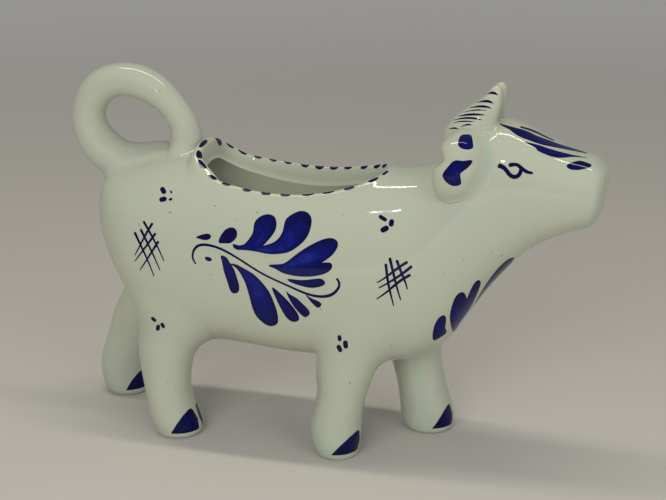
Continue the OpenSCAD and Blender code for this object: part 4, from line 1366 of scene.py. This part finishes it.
# The dashes along the lip: short half rounds that hang from the crest towards the inside. Their places, in the
# photograph's pixels, are found by where the crest shows nearest to each
dashes = {
    # where each shows, how long and how deep it is next to the rest
    "near": [(201, 141.5, 2.3, 0.75), (198.3, 154.7, 1.1, 1.1), (200.8, 165.8, 1.1, 1.1), (211.7, 177.5, 1, 1),
             (227.5, 185, 1, 0.9), (248, 190.5, 1, 0.9), (266, 192.8, 1.1, 0.85), (285, 193.7, 1.1, 0.8),
             (308.7, 194, 1.3, 0.8), (327.5, 192.8, 1.3, 0.8), (348, 188, 1.1, 0.8), (370, 178, 1.1, 0.8),
             (381, 173, 1, 0.7)],
    "far": [(217, 141.3, 1.5, 1.3), (228.7, 145, 1.1, 0.75), (243, 150.5, 1.1, 0.75), (257, 155, 1, 0.7),
            (272, 160.5, 1, 0.7), (288, 164.5, 1, 0.65), (304.7, 167, 1.1, 0.75), (321, 168, 1.2, 0.8),
            (334.7, 168, 1.2, 0.7), (350, 167.8, 1.1, 0.6), (366, 166.3, 1, 0.7), (378, 164, 1, 0.8),
            (386.7, 164, 0.9, 0.8)],
    "long": 2.9, "deep": 1.9, "tone": 0.05, "along": 15, "across": 7,
    "above": 0.35,                   # how much of its depth lies over its line
    "crest": 21,                     # which line of the bead is compared with the photograph
    "measured": (18, 27),            # over which lines their spacing is measured
    # which line of the bead they hang from, by how far along the opening they are
    "nearCrest": ([0, 0.1, 0.68, 0.82, 1], [17.5, 20.5, 20, 14.5, 12.5]), "farCrest": ([0, 0.1, 1], [21, 23.5, 23.5]),
}


def layDashes():
    crest = lipPatch.points[:, dashes["crest"]]
    count, half = len(crest), opening["steps"]
    shown = inPicture(crest)
    step = np.linalg.norm(np.diff(crest, axis=0), axis=1).mean()
    spacing = np.linalg.norm(np.diff(lipPatch.points[:, slice(*dashes["measured"])], axis=1), axis=-1).mean(axis=1)
    s, t = markGrid(dashes["along"], dashes["across"])
    s = 2 * s - 1
    deep = np.sqrt(np.maximum(1 - np.abs(s)**2.4, 0))
    for sideName, choose in (("near", np.arange(half, count)), ("far", np.arange(1, half))):
        for number, (across, down, longShare, deepShare) in enumerate(dashes[sideName]):
            where = choose[np.argmin(np.hypot(shown[choose, 0] - across, shown[choose, 1] - down))]
            line = np.interp(min(where, count - where) / half, *dashes[sideName + "Crest"])
            u = (where + s * longShare * dashes["long"] / 2 / step + 0 * t) % count
            v = line + (t - dashes["above"]) * deep * deepShare * dashes["deep"] / spacing[where]
            points, normals = lipPatch.at(u, v)
            layMark("rim_brushwork", points, normals, dashes["tone"], 0.01 * number)


layDashes()

# The hooves: a pair of marks each side of the toe, with a thin white cleft between and a white band over the sole
hooves = {
    "cleft": 0.07, "outer": 1.5, "inner": 1.2,  # how far round it starts and ends, in radians
    "low": 2.4, "top": 9.6,                     # its lowest and highest place, mm
    # its upper edge falls away round the leg: how far round, and how high
    "edge": ([0, 0.06, 0.14, 0.25, 0.47, 0.7, 0.93, 1], [0.86, 0.95, 1, 0.97, 0.80, 0.5, 0.12, 0]),
    "opens": 0.08,                              # the share of the way round over which it opens from a point
    "tone": 0.12, "along": 17, "across": 15,
    "rows": 5,                                  # the leg's rows that reach higher than a mark
}


# A mark runs between its lowest height and its upper edge, at angles that run on from the cleft
def layHooves():
    s, t = markGrid(hooves["along"], hooves["across"])
    scan = np.linspace(0, hooves["rows"], 400)
    for name, (bare, seated, rows) in legSurfaces.items():
        heights = bare.place(scan, 0 * scan)[:, 2]
        for way in (1, -1):
            end = hooves["outer"] if way == legs[name][0] else hooves["inner"]
            angle = hooves["cleft"] + (end - hooves["cleft"]) * s
            upper = hooves["low"] + (hooves["top"] - hooves["low"]) * np.interp(s, *hooves["edge"])
            swell = np.clip(s / hooves["opens"], 0, 1)**0.5
            height = (hooves["low"] + upper) / 2 + (t - 0.5) * (upper - hooves["low"]) * swell
            points, normals = seated.at(np.interp(height, heights, scan), way * angle + 0 * t)
            layMark(name + "_brushwork", points, normals, hooves["tone"], 0.05 * way)


layHooves()
makeMarks()
print("dashes and hooves painted")


studio = {
    "floor": (0.575, 0.55, 0.505), "far": (1.0, 0.985, 0.955),   # the floor's colours by the piece and far from it
    "turnsFar": (0.25, 1.6),         # from which distance to which, m
    "weave": 900, "weaveDeep": 0.3, "weaveShare": 0.12,          # waves in a metre, mm, and how much of it shows
    "radius": 4000.0, "rings": 12, "columns": 96,
    "below": 0.04,                   # how far under the feet the floor is, mm
    "world": (1.0, 1.0, 1.0), "worldStrength": 0.28,
    "sensor": 36, "clip": (0.01, 20),                            # the camera's, in mm and m
}


def floorMaterial():
    board = Board("pale_floor")
    where = board.node("ShaderNodeTexCoord", output=3)
    reach = board.node("ShaderNodeVectorMath", {"operation": "LENGTH"}, {0: where}, output=1)
    weave = board.noise(where, studio["weave"], 2)
    colour = board.blend(reach.between(*studio["turnsFar"]), studio["floor"], studio["far"])
    cloth = board.node("ShaderNodeBump", {}, {"Strength": studio["weaveShare"],
                                              "Distance": studio["weaveDeep"] * mm, "Height": weave})
    shader = board.node("ShaderNodeBsdfPrincipled", {}, {"Base Color": colour, "Roughness": 0.9, "Normal": cloth,
                                                         "Specular IOR Level": 0.1})
    return board.finish(shader)


# The floor: level rings round the middle, as wide as their share of the radius
def makeFloor():
    rings, columns = studio["rings"], studio["columns"]
    r = studio["radius"] * np.linspace(0, 1, rings)[:, None]
    v = turn * np.arange(columns) / columns
    points = np.stack([r * np.cos(v), r * np.sin(v), 0 * r * v - studio["below"]], axis=-1)
    mesh = bpy.data.meshes.new("floor")
    ids = wrapped(np.arange(rings * columns).reshape(rings, columns))
    quads = np.stack([ids[:-1, :-1], ids[1:, :-1], ids[1:, 1:], ids[:-1, 1:]], axis=-1).reshape(-1, 4)
    mesh.from_pydata((points * mm).reshape(-1, 3).tolist(), [], quads.tolist())
    mesh.update()
    mesh.materials.append(floorMaterial())
    link("floor", mesh)


lamps = {
    # place and what it looks at in mm, width and height in mm, power in watts, colour, and whether it shows in gloss
    "front": ((0, -700, 335), (0, 0, 60), 420, 420, 2.38, (1.0, 1.0, 1.0), False),
    "right": ((540, -453, 276), (0, 0, 60), 420, 420, 1.3, (0.94, 1.0, 1.0), False),
    "strip": ((-30, 10, 800), (-30, 10, 0), 800, 44, 1.9, (1.0, 0.95, 0.82), True),
    "spot_high": ((-109, -512, 576), (0, 0, 80), 22, 22, 0.10, (1.0, 1.0, 1.0), True),
    "spot_low": ((56, -642, 353), (0, 0, 80), 22, 22, 0.12, (1.0, 1.0, 1.0), True),
}


# Places a lamp or the camera so that it looks from one point to another
def point(thing, where, aim):
    thing.location = Vector(where) * mm
    thing.rotation_euler = (Vector(aim) - Vector(where)).to_track_quat("-Z", "Y").to_euler()


def makeLamp(name):
    where, aim, wide, high, power, colour, shines = lamps[name]
    light = bpy.data.lights.new(name, "AREA")
    light.shape, light.size, light.size_y = "RECTANGLE", wide * mm, high * mm
    light.energy, light.color = power, colour
    lamp = link(name, light)
    lamp.visible_glossy = shines
    point(lamp, where, aim)


makeFloor()
for lampName in lamps:
    makeLamp(lampName)

scene = bpy.context.scene
world = bpy.data.worlds.new("studio")
world.use_nodes = True
sky = world.node_tree.nodes["Background"].inputs
sky["Color"].default_value, sky["Strength"].default_value = (*studio["world"], 1), studio["worldStrength"]
scene.world = world
scene.view_settings.view_transform = "Standard"

lens = bpy.data.cameras.new("camera")
lens.sensor_width = studio["sensor"]
lens.lens = photo["focal"] / photo["wide"] * lens.sensor_width
lens.clip_start, lens.clip_end = studio["clip"]
camera = link("camera", lens)
point(camera, eye, photo["aim"])
scene.camera = camera
print("stage set")
